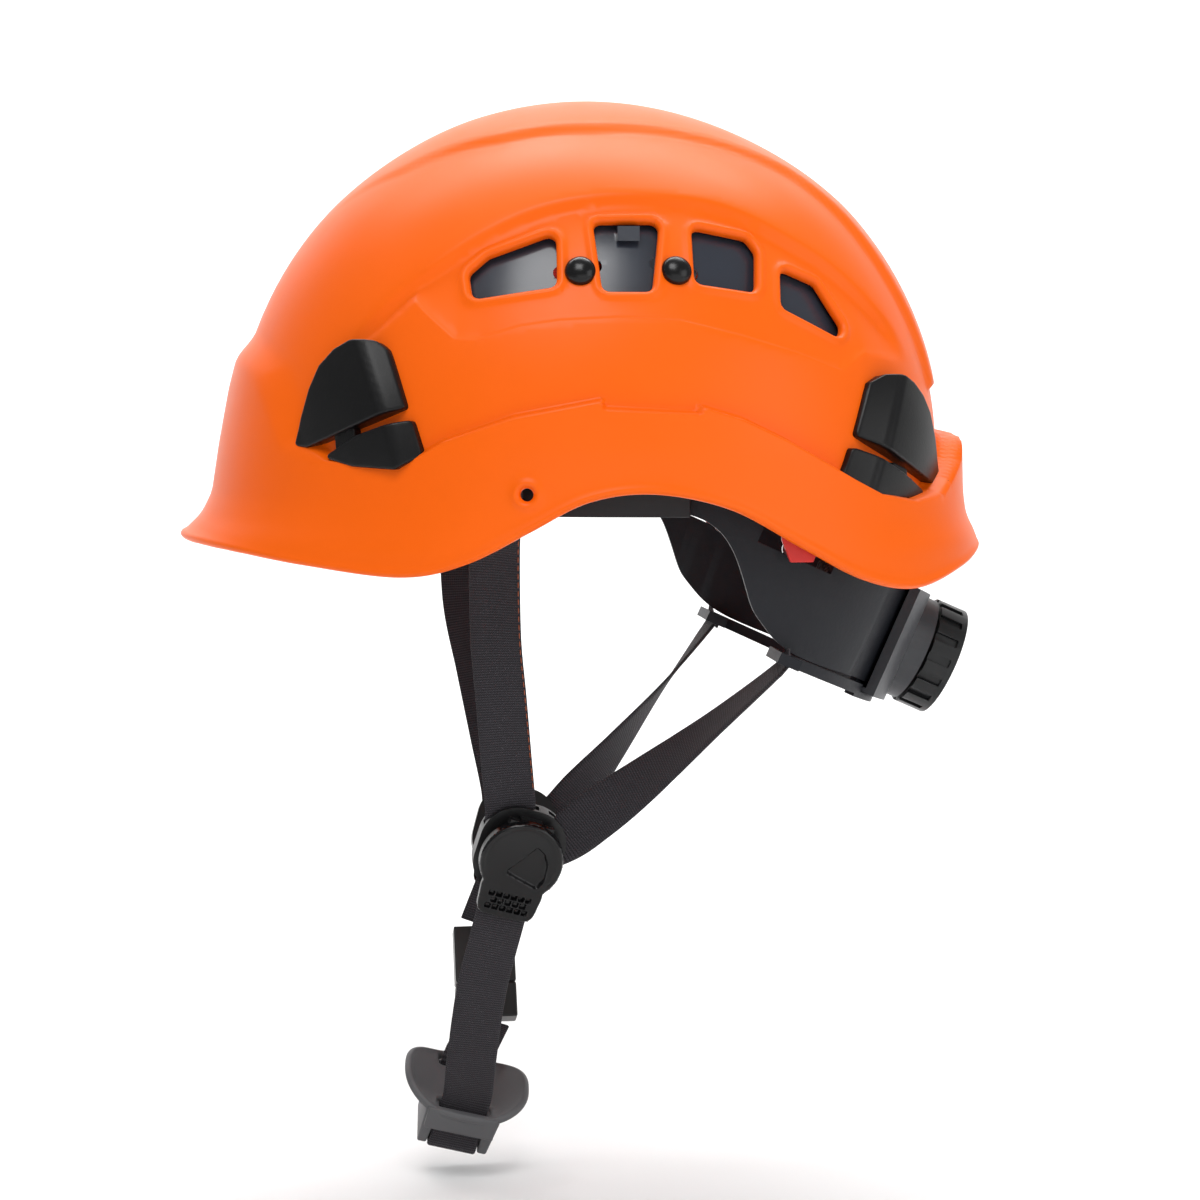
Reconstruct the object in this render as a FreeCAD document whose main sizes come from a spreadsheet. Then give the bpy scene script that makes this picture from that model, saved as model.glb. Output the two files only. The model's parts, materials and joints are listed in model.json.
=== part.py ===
# Arborist helmet: vented shell, suspension, ratchet nape adjuster and four-point chin strap.
# Frame: origin at the centre of the headband opening, front towards -X, wearer's left towards -Y,
# +Z up.  Millimetres.
import FreeCAD, Part
import math
import os
import Sketcher
from FreeCAD import Placement, Rotation, Vector

X_AXIS = Vector(1, 0, 0)
Y_AXIS = Vector(0, 1, 0)
Z_AXIS = Vector(0, 0, 1)
SIDES = (("left", -1), ("right", 1))

doc = FreeCAD.newDocument("arborist_helmet")

# ---------------------------------------------------------------- driving dimensions
SIZES = {
    # shell
    "dome_radius": 128.0,
    "dome_half_width": 108.0,
    "dome_x": -5.0,
    "dome_z": 15.0,
    "wall": 3.0,
    "crest_rise": 2.0,
    "visor_hole_radius": 2.15,
    "clip_rise": 7.0,
    "rivet_head": 4.8,
    "rivet_stem": 2.0,
    "shutter_depth": 7.0,
    "shutter_thick": 1.5,
    # webbing
    "web_width": 18.0,
    "web_thick": 1.2,
    # nape adjuster, in its own tilted frame
    "nape_x": 38.0,
    "nape_tilt": 24.0,
    "wing_inside": 84.9,
    "wing_thick": 2.2,
    "knob_radius": 20.5,
    "knob_thick": 10.8,
    "knob_seat": 97.8,
    "knob_drop": 20.5,
    "pinion_pitch": 6.0,
    "pinion_teeth": 10,
    "shaft_radius": 3.5,
    "shaft_clearance": 0.06,
    "pin_radius": 2.5,
    "pin_x": 58.5,
    "pin_z": -15.0,
    # cam divider below the ear
    "disc_radius": 15.0,
    "disc_thick": 2.5,
    "base_width": 31.0,
    "hinge_height": 12.2,
    "hinge_radius": 1.2,
    # buckle
    "buckle_width": 23.0,
    "buckle_thick": 9.0,
    "socket_length": 22.0,
    # chin cup
    "cup_length": 45.0,
    "cup_width": 43.0,
}

sheet = doc.addObject("Spreadsheet::Sheet", "Sizes")
for row, (alias, value) in enumerate(SIZES.items(), start=1):
    sheet.set(f"A{row}", alias)
    sheet.set(f"B{row}", str(value))
    sheet.setAlias(f"B{row}", alias)
doc.recompute()


def size(alias):
    return float(sheet.get(alias))


# ---------------------------------------------------------------- helpers
def bind(obj, **expressions):
    for name, expression in expressions.items():
        obj.setExpression(name, expression)
    return obj


def feature(name, shape):
    obj = doc.addObject("Part::Feature", name)
    obj.Shape = shape
    return obj


def node(obj, name):
    obj.Label = name
    nodes[name] = obj
    return obj


nodes = {}


def cut(name, base, tool):
    obj = doc.addObject("Part::Cut", name)
    obj.Base = base
    obj.Tool = tool
    return obj


def fuse(name, shapes):
    obj = doc.addObject("Part::MultiFuse", name)
    obj.Shapes = shapes
    return obj


def common(name, shapes):
    obj = doc.addObject("Part::MultiCommon", name)
    obj.Shapes = shapes
    return obj


def block(low, high):
    """A box between two opposite corners."""
    low = Vector(*low)
    high = Vector(*high)
    span = high - low
    return Part.makeBox(span.x, span.y, span.z, low)


def round_wall_edges(solid, radius, direction):
    """Fillet the edges of a prism that run along its own direction."""
    edges = [e for e in solid.Edges if len(e.Vertexes) == 2 and isinstance(e.Curve, Part.Line)
             and abs(abs(e.Curve.Direction.dot(direction)) - 1) < 1e-6]
    return solid.makeFillet(radius, edges) if radius else solid


def side_prism(points, y_low, y_high, radius=0.0):
    """A prism along Y over an outline of (x, z) corners, its corners rounded."""
    corners = [Vector(x, y_low, z) for x, z in points]
    face = Part.Face(Part.makePolygon(corners + corners[:1]))
    return round_wall_edges(face.extrude(Vector(0, y_high - y_low, 0)), radius, Y_AXIS)


def spline_prism(curve_points, closing_points, y_low, y_high):
    """A prism along Y whose outline is one smooth curve closed by straight lines."""
    curve = Part.BSplineCurve()
    smooth = [Vector(x, y_low, z) for x, z in curve_points]
    curve.interpolate(smooth)
    closing = [Vector(x, y_low, z) for x, z in closing_points]
    path = [smooth[-1]] + closing + [smooth[0]]
    lines = [Part.LineSegment(a, b).toShape() for a, b in zip(path, path[1:])]
    face = Part.Face(Part.Wire([curve.toShape()] + lines))
    return face.extrude(Vector(0, y_high - y_low, 0))


def mirrored(shape):
    return shape.mirror(Vector(0, 0, 0), Y_AXIS)


def for_side(shape, side):
    """Shapes are drawn on the wearer's right, +Y; the left one is the mirror image."""
    return shape if side > 0 else mirrored(shape)


def body(name, placement=Placement()):
    obj = doc.addObject("PartDesign::Body", name)
    obj.Placement = placement
    return node(obj, name)


def sketch(owner, role, offset=0.0):
    plane = next(f for f in owner.Origin.OriginFeatures if f.Role == role)
    drawing = owner.newObject("Sketcher::SketchObject", owner.Name + "_sketch")
    drawing.AttachmentSupport = [(plane, "")]
    drawing.MapMode = "FlatFace"
    drawing.AttachmentOffset = Placement(Vector(0, 0, offset), Rotation())
    return drawing


def circle(drawing, x, y, expression):
    radius = float(drawing.evalExpression(expression))
    index = drawing.addGeometry(Part.Circle(Vector(x, y, 0), Z_AXIS, radius), False)
    number = drawing.addConstraint(Sketcher.Constraint("Radius", index, radius))
    drawing.setExpression(f"Constraints[{number}]", expression)


def outline(drawing, corners):
    points = [Vector(x, y, 0) for x, y in corners]
    for a, b in zip(points, points[1:] + points[:1]):
        drawing.addGeometry(Part.LineSegment(a, b), False)


def rectangle(drawing, low_x, low_y, high_x, high_y):
    outline(drawing, [(low_x, low_y), (high_x, low_y), (high_x, high_y), (low_x, high_y)])


def pad(owner, drawing, length, reverse=False):
    obj = owner.newObject("PartDesign::Pad", owner.Name + "_pad")
    obj.Profile = drawing
    obj.setExpression("Length", str(length))
    obj.Reversed = reverse
    doc.recompute()
    return obj


def pocket(owner, drawing, length, reverse=False):
    obj = owner.newObject("PartDesign::Pocket", owner.Name + "_pocket")
    obj.Profile = drawing
    obj.setExpression("Length", str(length))
    obj.Reversed = reverse
    doc.recompute()
    return obj


def polar(owner, original, count, role="Z_Axis"):
    axis = next(f for f in owner.Origin.OriginFeatures if f.Role == role)
    obj = owner.newObject("PartDesign::PolarPattern", owner.Name + "_pattern")
    obj.Originals = [original]
    obj.Axis = (axis, [""])
    obj.Angle = 360
    obj.Occurrences = count
    owner.Tip = obj
    doc.recompute()
    return obj


def ribbon(points, acrosses, width=None, thick=None):
    """Flat webbing through the given centre points, its width along the given directions."""
    width = width or size("web_width")
    thick = thick or size("web_thick")
    centres = [Vector(*p) for p in points]
    wires = []
    for i, centre in enumerate(centres):
        ahead = centres[min(i + 1, len(centres) - 1)] - centre
        behind = centre - centres[max(i - 1, 0)]
        along = Vector(0, 0, 0)
        for part in (ahead, behind):
            if part.Length > 0:
                along = along + part.normalize()
        across = Vector(*acrosses[i])
        face_normal = across.cross(along).normalize()
        across = along.cross(face_normal).normalize()
        half = across * (width / 2)
        up = face_normal * (thick / 2)
        corners = [centre + half + up, centre - half + up, centre - half - up, centre + half - up]
        wires.append(Part.makePolygon(corners + corners[:1]))
    return Part.makeLoft(wires, True, True)


# ---------------------------------------------------------------- shell
# Skirt sections from top to bottom: height, front, rear, half width of the outer surface.
SKIRT = [
    (58.0, -130.0, 119.0, 105.0),
    (40.0, -134.8, 127.0, 109.0),
    (20.0, -138.6, 133.0, 111.5),
    (2.0, -141.4, 133.5, 112.2),
    (-6.0, -145.5, 134.6, 112.5),
    (-11.0, -151.0, 137.0, 112.5),
    (-14.0, -153.0, 138.8, 112.5),
    (-34.0, -153.0, 139.8, 112.5),
]
# Lower edge of the shell seen from the side.
RIM = [(-170, -12), (-140, -15), (-111, -19), (-79, -22), (-58, -17.3), (-37, -6.5), (-17, 3.5),
       (5, 6), (31, 0.6), (56, -12.4), (80, -24.6), (102, -29.2), (124, -23.8), (139, -18.5),
       (160, -17)]
# Top of the raised skirt seen from the side, with the shallow notch above the ear.
LEDGE = [(-170, 57), (-131, 56), (-120, 46), (-112, 24), (-101, 17), (-85, 16), (-74, 18), (-64, 24),
         (-41.5, 32), (-12, 37.6), (-12, 34.7), (20.5, 33), (20.5, 35.3), (35, 31), (51, 23.6),
         (76, 10), (86, 5), (100, 2), (112, 4), (122, 14), (128, 24), (160, 24)]
VENTS = [
    [(-54.7, 83.3), (-28.0, 93.9), (-25.2, 78.0), (-54.5, 71.8)],
    [(-12.0, 98.6), (10.6, 99.0), (6.6, 74.8), (-9.8, 74.8)],
    [(21.8, 95.8), (45.0, 89.0), (40.6, 72.6), (21.8, 78.0)],
    [(52.6, 82.6), (76.2, 62.8), (71.8, 58.2), (51.4, 70.0)],
]
RIVETS = [(-18.0, 81.0), (15.2, 81.2)]
# Start of the right visor hole inside the shell, and how far its axis leans up from level.
VISOR_HOLE = (-37.8, 95.0, 5.5)
VISOR_HOLE_LEAN = 2.5
FITTING_GAP = 0.15


def egg(name, major, minor, axis):
    """A solid of revolution of half an ellipse about one of its axes, centred on the dome."""
    centre = Vector(size("dome_x"), 0, size("dome_z"))
    ellipse = Part.Ellipse(centre, major, minor)
    start = -math.pi / 2 if axis == Y_AXIS else 0.0
    arc = Part.ArcOfEllipse(ellipse, start, start + math.pi).toShape()
    chord = Part.makeLine(arc.Vertexes[-1].Point, arc.Vertexes[0].Point)
    return feature(name, Part.Face(Part.Wire([arc, chord])).revolve(centre, axis, 360))


def dome(name, grow):
    return egg(name, size("dome_radius") + grow, size("dome_half_width") + grow, Y_AXIS)


def inner_line(points, distance):
    """An open line of (x, z) points running towards +X, moved down along its own normal."""
    moved = []
    for i, (x, z) in enumerate(points):
        before = points[max(i - 1, 0)]
        after = points[min(i + 1, len(points) - 1)]
        run = math.hypot(after[0] - before[0], after[1] - before[1])
        moved.append((x + (after[1] - before[1]) / run * distance,
                      z - (after[0] - before[0]) / run * distance))
    return moved


def skirt(name, inset):
    rings = []
    for number, (z, front, rear, half_width) in enumerate(SKIRT):
        ring = doc.addObject("Part::Ellipse", f"{name}_ring{number}")
        bind(ring, MajorRadius=f"{(rear - front) / 2} - {inset}", MinorRadius=f"{half_width} - {inset}")
        ring.Placement.Base = Vector((rear + front) / 2, 0, z)
        rings.append(ring)
    loft = doc.addObject("Part::Loft", name)
    loft.Sections = rings
    loft.Solid = True
    loft.Ruled = True
    return loft


def dome_half_y(x, z, grow=0.0):
    """Half width of the dome at a place on its side view."""
    radius = size("dome_radius") + grow
    off = ((x - size("dome_x")) ** 2 + (z - size("dome_z")) ** 2) / radius ** 2
    return (size("dome_half_width") + grow) * math.sqrt(max(0.0, 1 - off))


def hollow(name, inset):
    """The space inside the shell, its surfaces moved inwards from the outer ones."""
    under_ledge = side_prism(inner_line(LEDGE, inset) + [(160, -60), (-170, -60)], -140, 140)
    return fuse(name, [
        dome(name + "_dome", -inset),
        common(name + "_skirt", [skirt(name + "_rings", inset), feature(name + "_ledge", under_ledge)])])


def fitting_space():
    """The shell's inside less a small gap, for the fittings that stand against it."""
    return doc.getObject("fitting_space").Shape


def make_shell():
    below_ledge = feature("below_ledge", side_prism(LEDGE + [(160, -60), (-170, -60)], -140, 140))
    above_rim = feature("above_rim", spline_prism(RIM, [(160, 170), (-170, 170)], -140, 140))
    crest_plan = Part.Face(Part.makePolygon([Vector(x, y, 60) for x, y in [
        (-100, 12), (-74, 31), (-40, 42), (-8, 45), (30, 41), (64, 33), (100, 35), (122, 30),
        (122, -30), (100, -35), (64, -33), (30, -41), (-8, -45), (-40, -42), (-74, -31), (-100, -12),
        (-100, 12)]])).extrude(Vector(0, 0, 100))
    crest = common("crest", [dome("crest_dome", size("crest_rise")), feature("crest_plan", crest_plan)])
    raised = common("raised_skirt", [skirt("skirt_outside", "0"), below_ledge])
    outside = fuse("shell_outside", [dome("dome_outside", 0.0), raised, crest])
    trimmed = common("shell_trimmed", [cut("shell_wall", outside, hollow("shell_hollow", size("wall"))), above_rim])
    openings = [feature(f"vent_{number}", side_prism(corners, -130, 130, 2.6))
                for number, corners in enumerate(VENTS)]
    for number, (x, z) in enumerate(RIVETS):
        hole = doc.addObject("Part::Cylinder", f"rivet_hole_{number}")
        bind(hole, Radius="Sizes.rivet_stem + 0.05", Height="260")
        hole.Placement = Placement(Vector(x, -130, z), Rotation(X_AXIS, -90))
        openings.append(hole)
    for name, side in SIDES:
        visor_hole = doc.addObject("Part::Cylinder", f"{name}_visor_hole")
        bind(visor_hole, Radius="Sizes.visor_hole_radius", Height="30")
        outward = Rotation(X_AXIS, -side * (90 - VISOR_HOLE_LEAN))
        x, y, z = VISOR_HOLE
        visor_hole.Placement = Placement(Vector(x, y * side, z), outward)
        openings.append(visor_hole)
    node(cut("shell", trimmed, fuse("shell_openings", openings)), "outer_shell")
    hollow("fitting_space", size("wall") + FITTING_GAP)
    return outside


# Headlamp clips: outlines of the upper and lower jaw seen from the side, and the bridge between them.
CLIPS = {
    "front": ([(-116, 21.5), (-113.8, 31), (-110.5, 41), (-106.5, 49), (-101, 54.5), (-95.3, 57.5),
               (-88, 58.3), (-85.2, 56), (-79.4, 35.6)],
              [(-106.2, 17.2), (-81.1, 15.2), (-74.4, 18.8), (-77.7, 31.3), (-94.4, 25.4)],
              [(-103, 27), (-97, 29), (-96, 18), (-102, 17.5)]),
    "rear": ([(82, 24.6), (119, 5), (120.6, 8.4), (116.7, 22.2), (113, 31.8), (108.9, 37.6),
              (104.5, 41.7), (98.7, 45), (93, 45.8), (88.5, 43.6)],
             [(77, 9.1), (86.5, 5.6), (108.7, 3), (111, 3.9), (99.9, 10.4), (80, 20.5)],
             [(98, 21), (104, 18), (104, 6), (98, 8)]),
}


def make_clips(outside):
    for end, outlines in CLIPS.items():
        proud = dome(f"{end}_clip_face", size("clip_rise"))
        for name, side in SIDES:
            half = feature(f"{name}_{end}_half", for_side(Part.makeCompound(
                [side_prism(corners, 0.5, 130) for corners in outlines[:2]]), side))
            bridge = feature(f"{name}_{end}_bridge", for_side(side_prism(outlines[2], 0.5, 130), side))
            inner = dome(f"{name}_{end}_bridge_face", size("clip_rise") - 2.5)
            solid = fuse(f"{name}_{end}_solid", [common(f"{name}_{end}_jaws", [half, proud]),
                                                 common(f"{name}_{end}_link", [bridge, inner])])
            node(cut(f"{name}_{end}_clip_cut", solid, outside), f"{end}_{name}_clip")


# ---------------------------------------------------------------- vent shutters and rivets
SHUTTER = [(-62, 80), (-50, 90.5), (-28, 99.5), (0, 104), (26, 101.5), (50, 92), (72, 77), (84, 62),
           (79, 54), (66, 55.5), (48, 65.5), (24, 70.5), (0, 71), (-24, 70), (-48, 66.5), (-60, 70)]
SHUTTER_WINDOWS = [
    [(-23.6, 90), (-15.2, 92), (-14.4, 73), (-22.4, 74)],
    [(12.6, 94), (19.4, 92), (19.4, 74), (10.4, 74)],
    [(46.8, 83), (50.2, 81), (49.0, 72), (44.6, 73)],
]
SHUTTER_SWING = 5.0


def make_shutters():
    outer = dome("shutter_outside", -size("shutter_depth"))
    inner = dome("shutter_inside", -(size("shutter_depth") + size("shutter_thick")))
    doc.recompute()
    plate = outer.Shape.cut(inner.Shape).common(side_prism(SHUTTER, 1, 130))
    for corners in SHUTTER_WINDOWS:
        plate = plate.cut(side_prism(corners, 1, 130, 1.2))
    slot_half = size("rivet_stem") + 0.3
    centre = Vector(size("dome_x"), 0, size("dome_z"))
    for x, z in RIVETS:
        start = Part.makeCylinder(slot_half, 130, Vector(x, 1, z), Y_AXIS)
        for step in range(-5, 6):
            stem = start.copy()
            stem.rotate(centre, Y_AXIS, step * (SHUTTER_SWING + 0.2) / 5)
            plate = plate.cut(stem)
    tab_y = dome_half_y(0, 93, -size("shutter_depth"))
    tab = block((-4, tab_y - 0.8, 90.5), (3.5, tab_y + 4.5, 95.5))
    plate = plate.fuse(tab.cut(inner.Shape)).removeSplitter()
    for name, side in SIDES:
        node(feature(f"{name}_shutter", for_side(plate, side)), f"{name}_vent_shutter")


def rivet_solid(x, z):
    """Dome-headed rivet along Y with a washer behind the shutter."""
    head = size("rivet_head")
    stem = size("rivet_stem")
    skin = dome_half_y(x, z)
    ball = Part.makeSphere(head * 1.25, Vector(x, skin - head * 0.35, z))
    cap = ball.common(Part.makeCylinder(head, 12, Vector(x, skin - 2, z), Y_AXIS))
    cap = cap.cut(doc.getObject("dome_outside").Shape)
    inner = dome_half_y(x, z, -(size("shutter_depth") + size("shutter_thick"))) - 4.0
    shank = Part.makeCylinder(stem, skin + 1 - inner, Vector(x, inner, z), Y_AXIS)
    washer = Part.makeCylinder(4.0, 1.2, Vector(x, inner - 1.2, z), Y_AXIS)
    return cap.fuse([shank, washer])


def make_rivets():
    pair = Part.makeCompound([rivet_solid(x, z) for x, z in RIVETS])
    for name, side in SIDES:
        node(feature(f"{name}_rivets", for_side(pair, side)), f"{name}_vent_rivets")


# ---------------------------------------------------------------- suspension
BAND_X = 30.0
BAND_HALF_LENGTH = 135.0
BAND_HALF_WIDTH = 87.8
BAND_THICK = 1.8
CROWN_LENGTH = 110.0
CROWN_RADIUS = 92.5
CROWN_WIDTH = 20.0
CROWN_PAD_RADIUS = 30.0
CROWN_PAD_THICK = 6.0
CROWN_PAD_DROP = 12.5
ANCHOR_LOW = 18.0
ANCHOR_HIGH = 34.0
ANCHOR_GAP = 2.0
# Each crown strap: name, compass angle from the front, lift above the one under it, its two hooks.
CROWN_STRAPS = (
    ("front_left_crown_strap", 38, 0.0, ("front_right_anchor", "rear_left_anchor")),
    ("front_right_crown_strap", -38, 1.6, ("front_left_anchor", "rear_right_anchor")),
    ("side_crown_strap", 90, 3.2, ("side_right_anchor", "side_left_anchor")),
)


def scaled_cylinder(half_length, half_width, z_low, z_high, x):
    """An upright elliptic cylinder."""
    ring = Part.Ellipse(Vector(x, 0, z_low), half_length, half_width).toShape()
    return Part.Face(Part.Wire([ring])).extrude(Vector(0, 0, z_high - z_low))


def band(offset, thick, z_low, z_high):
    outer = scaled_cylinder(BAND_HALF_LENGTH + offset + thick, BAND_HALF_WIDTH + offset + thick,
                            z_low, z_high, BAND_X)
    inner = scaled_cylinder(BAND_HALF_LENGTH + offset, BAND_HALF_WIDTH + offset, z_low, z_high, BAND_X)
    return outer.cut(inner)


def make_headband():
    side_view = side_prism([(-120, -2), (-96, -3), (20, -3), (20, 12), (-30, 15), (-70, 32), (-120, 34)],
                           -120, 120)
    strip = band(0, BAND_THICK, -5, 36).common(side_view)
    node(feature("headband_strip", strip), "headband_front")
    pad_view = side_prism([(-120, 1), (-56, 1), (-62, 22), (-78, 30), (-120, 31)], -120, 120)
    cushion = band(-7.3, 7.0, 0, 34).common(pad_view)
    node(feature("sweat_cushion", cushion), "sweat_pad")


def crown_point(angle, grow, z):
    """A place on the surface the crown straps follow, at a compass angle from the front."""
    length = CROWN_LENGTH + grow
    radius = CROWN_RADIUS + grow
    turn = math.radians(angle)
    level = math.sqrt(1 - ((z - size("dome_z")) / radius) ** 2)
    radius = level / math.hypot(math.cos(turn) / length, math.sin(turn) / radius)
    return Vector(size("dome_x") - radius * math.cos(turn), radius * math.sin(turn), z)


def make_crown():
    for name, angle, grow, hooks in CROWN_STRAPS:
        inner = egg(name + "_inside", CROWN_LENGTH + grow, CROWN_RADIUS + grow, X_AXIS)
        top = grow + size("web_thick")
        outer = egg(name + "_outside", CROWN_LENGTH + top, CROWN_RADIUS + top, X_AXIS)
        span = block((-160, -CROWN_WIDTH / 2, ANCHOR_LOW + 4), (160, CROWN_WIDTH / 2, 160))
        span.rotate(Vector(0, 0, 0), Z_AXIS, -angle)
        span.translate(Vector(size("dome_x"), 0, 0))
        strip = cut(name + "_skin", outer, inner)
        node(common(name + "_strip", [strip, feature(name + "_span", span)]), name)
    centre = Vector(size("dome_x"), 0, size("dome_z") + CROWN_RADIUS - CROWN_PAD_DROP)
    node(feature("crown_cushion", Part.makeCylinder(CROWN_PAD_RADIUS, CROWN_PAD_THICK, centre)), "crown_pad")


def make_anchors():
    """Hooks in the shell wall that take the crown strap ends."""
    for name, angle, grow, hooks in CROWN_STRAPS:
        for turn, hook_name in zip((angle, angle + 180), hooks):
            foot = crown_point(turn, grow + size("web_thick") + ANCHOR_GAP, (ANCHOR_LOW + ANCHOR_HIGH) / 2)
            hook = block((0, -13, ANCHOR_LOW - foot.z), (40, 13, ANCHOR_HIGH - foot.z))
            hook = hook.cut(block((3, -10.3, -20), (6, 10.3, 20)))
            hook.rotate(Vector(0, 0, 0), Z_AXIS, math.degrees(math.atan2(foot.y, foot.x - size("dome_x"))))
            hook.translate(foot)
            inside = max(hook.common(fitting_space()).Solids, key=lambda solid: solid.Volume)
            node(feature(hook_name + "_hook", inside), hook_name)


# ---------------------------------------------------------------- nape adjuster
NAPE = Placement(Vector(size("nape_x"), 0, 0), Rotation(Y_AXIS, size("nape_tilt")))
WING_LOWER = [(-29.6, -3), (-21, -9.6), (-10.5, -9), (-1.5, -11.3), (4.5, -15.5), (9.4, -20.5),
              (14.2, -26), (18.6, -30.5), (23.7, -33.6), (29.8, -36.6), (36.3, -38.4), (45.6, -39),
              (59.7, -38.4), (76, -38.4)]
WING_UPPER = [(76, -2.4), (63, -2.2), (52, 3), (40, 9), (22, 13), (-10, 12), (-26, 7)]
WING_TRAVEL = 8.0
PIN_ANGLE = 73.2
PIN_HEIGHT = -5.4
STRIP_LOW = -32.5
STRIP_HIGH = -8.5
HOUSING_EDGE = 31.0


def sector(r_in, r_out, z_low, z_high, start, end):
    """Part of an upright ring, from one compass angle to another, in degrees from +X towards +Y."""
    ring = Part.makeCylinder(r_out, z_high - z_low, Vector(0, 0, z_low), Z_AXIS, end - start)
    core = Part.makeCylinder(r_in, z_high - z_low, Vector(0, 0, z_low), Z_AXIS)
    ring = ring.cut(core)
    ring.rotate(Vector(0, 0, 0), Z_AXIS, start)
    return ring


def placed(shape, placement):
    copy = shape.copy()
    copy.Placement = placement.multiply(copy.Placement)
    return copy


def wing(layer_in, layer_out, teeth_up):
    """One side arm of the nape adjuster with its toothed strip, drawn on the +Y side."""
    inside = size("wing_inside")
    outside = inside + size("wing_thick")
    centre = -size("knob_drop")
    profile = spline_prism(WING_LOWER, WING_UPPER, 0, 100)
    arm = sector(inside, outside, -45, 20, 41, 115).common(profile)
    layer = sector(layer_in, layer_out, -45, 20, 28, 60).common(profile)
    strip = sector(layer_in, layer_out, STRIP_LOW, STRIP_HIGH, -17, 32)
    solid = arm.fuse([layer, strip])
    tip = size("pinion_pitch") - 0.6
    root = size("pinion_pitch") + 1.0
    clear = size("pinion_pitch") + 1.2
    low, high = (-clear, tip) if teeth_up else (-tip, clear)
    cutters = [sector(80, 90, centre + low, centre + high, -13.6, 13.6)]
    pitch = 360 * size("pinion_pitch") / size("pinion_teeth") / (inside + size("wing_thick") / 2)
    for tooth in range(-5, 6):
        low, high = (0, root) if teeth_up else (-root, 0)
        cutters.append(sector(80, 90, centre + low, centre + high,
                              (tooth - 0.305) * pitch, (tooth + 0.305) * pitch))
    slot = size("pin_radius") + 0.4
    reach = WING_TRAVEL + 2.3
    cutters.append(sector(80, 90, PIN_HEIGHT - slot, PIN_HEIGHT + slot,
                          PIN_ANGLE - reach, PIN_ANGLE + reach))
    return solid.cut(Part.makeCompound(cutters)).removeSplitter()


def make_wings():
    inside = size("wing_inside")
    middle = inside + size("wing_thick") / 2
    outside = inside + size("wing_thick")
    left = mirrored(wing(inside, middle - 0.1, True))
    right = wing(middle + 0.1, outside, False)
    node(feature("left_wing_plate", placed(left, NAPE)), "left_nape_wing")
    node(feature("right_wing_plate", placed(right, NAPE)), "right_nape_wing")


def axial(radius, start, end):
    """A cylinder about the knob axis, between two distances from the nape axis."""
    return Part.makeCylinder(radius, end - start, Vector(start, 0, -size("knob_drop")), X_AXIS)


def make_housing():
    bore = size("shaft_radius") + size("shaft_clearance")
    seat = size("knob_seat") - 0.9
    shell = sector(87.7, 91.5, -42, 0, -HOUSING_EDGE, HOUSING_EDGE)
    floor = sector(84.4, 88, -42, -40.3, -HOUSING_EDGE, HOUSING_EDGE)
    roof = sector(84.4, 88, -1.5, 0, -HOUSING_EDGE, HOUSING_EDGE)
    boss = axial(19.5, 86, seat).cut(Part.makeCylinder(87.7, 80, Vector(0, 0, -60)))
    cover = shell.fuse([floor, roof, boss])
    cover = cover.cut(axial(bore, 80, 110)).cut(axial(14, 93.2, 110))
    node(feature("housing_cover", placed(cover.removeSplitter(), NAPE)), "ratchet_housing")
    ring = axial(13.6, 93.4, 95.6).cut(axial(9.0, 90, 100))
    node(feature("ratchet_pawl_ring", placed(ring, NAPE)), "ratchet_spring")


def make_cradle():
    plate = sector(81.8, 84.1, -44.6, 0, -33, 33)
    solids = [sector(83.5, 87.3, -44.6, -42.2, -36, 36)]
    for side in (-1, 1):
        start, end = (33, 66) if side > 0 else (-66, -33)
        solids.append(sector(83.5, 87.3, -43.4, -39.4, start, end))
        eye = block((32.5, 67, -43.4), (40.5, 90, -39.6)).cut(block((35.2, 69, -50), (37.8, 88, -30)))
        solids.append(for_side(eye, side))
    cradle = plate.fuse(solids)
    cradle = cradle.cut(axial(size("pinion_pitch") + 2, 80, 84.15)).removeSplitter()
    node(feature("cradle_plate", placed(cradle, NAPE)), "nape_cradle")
    cushion = sector(75.5, 81.5, -39, -3, -40, 40)
    node(feature("nape_cushion", placed(cushion, NAPE)), "nape_pad")


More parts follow.
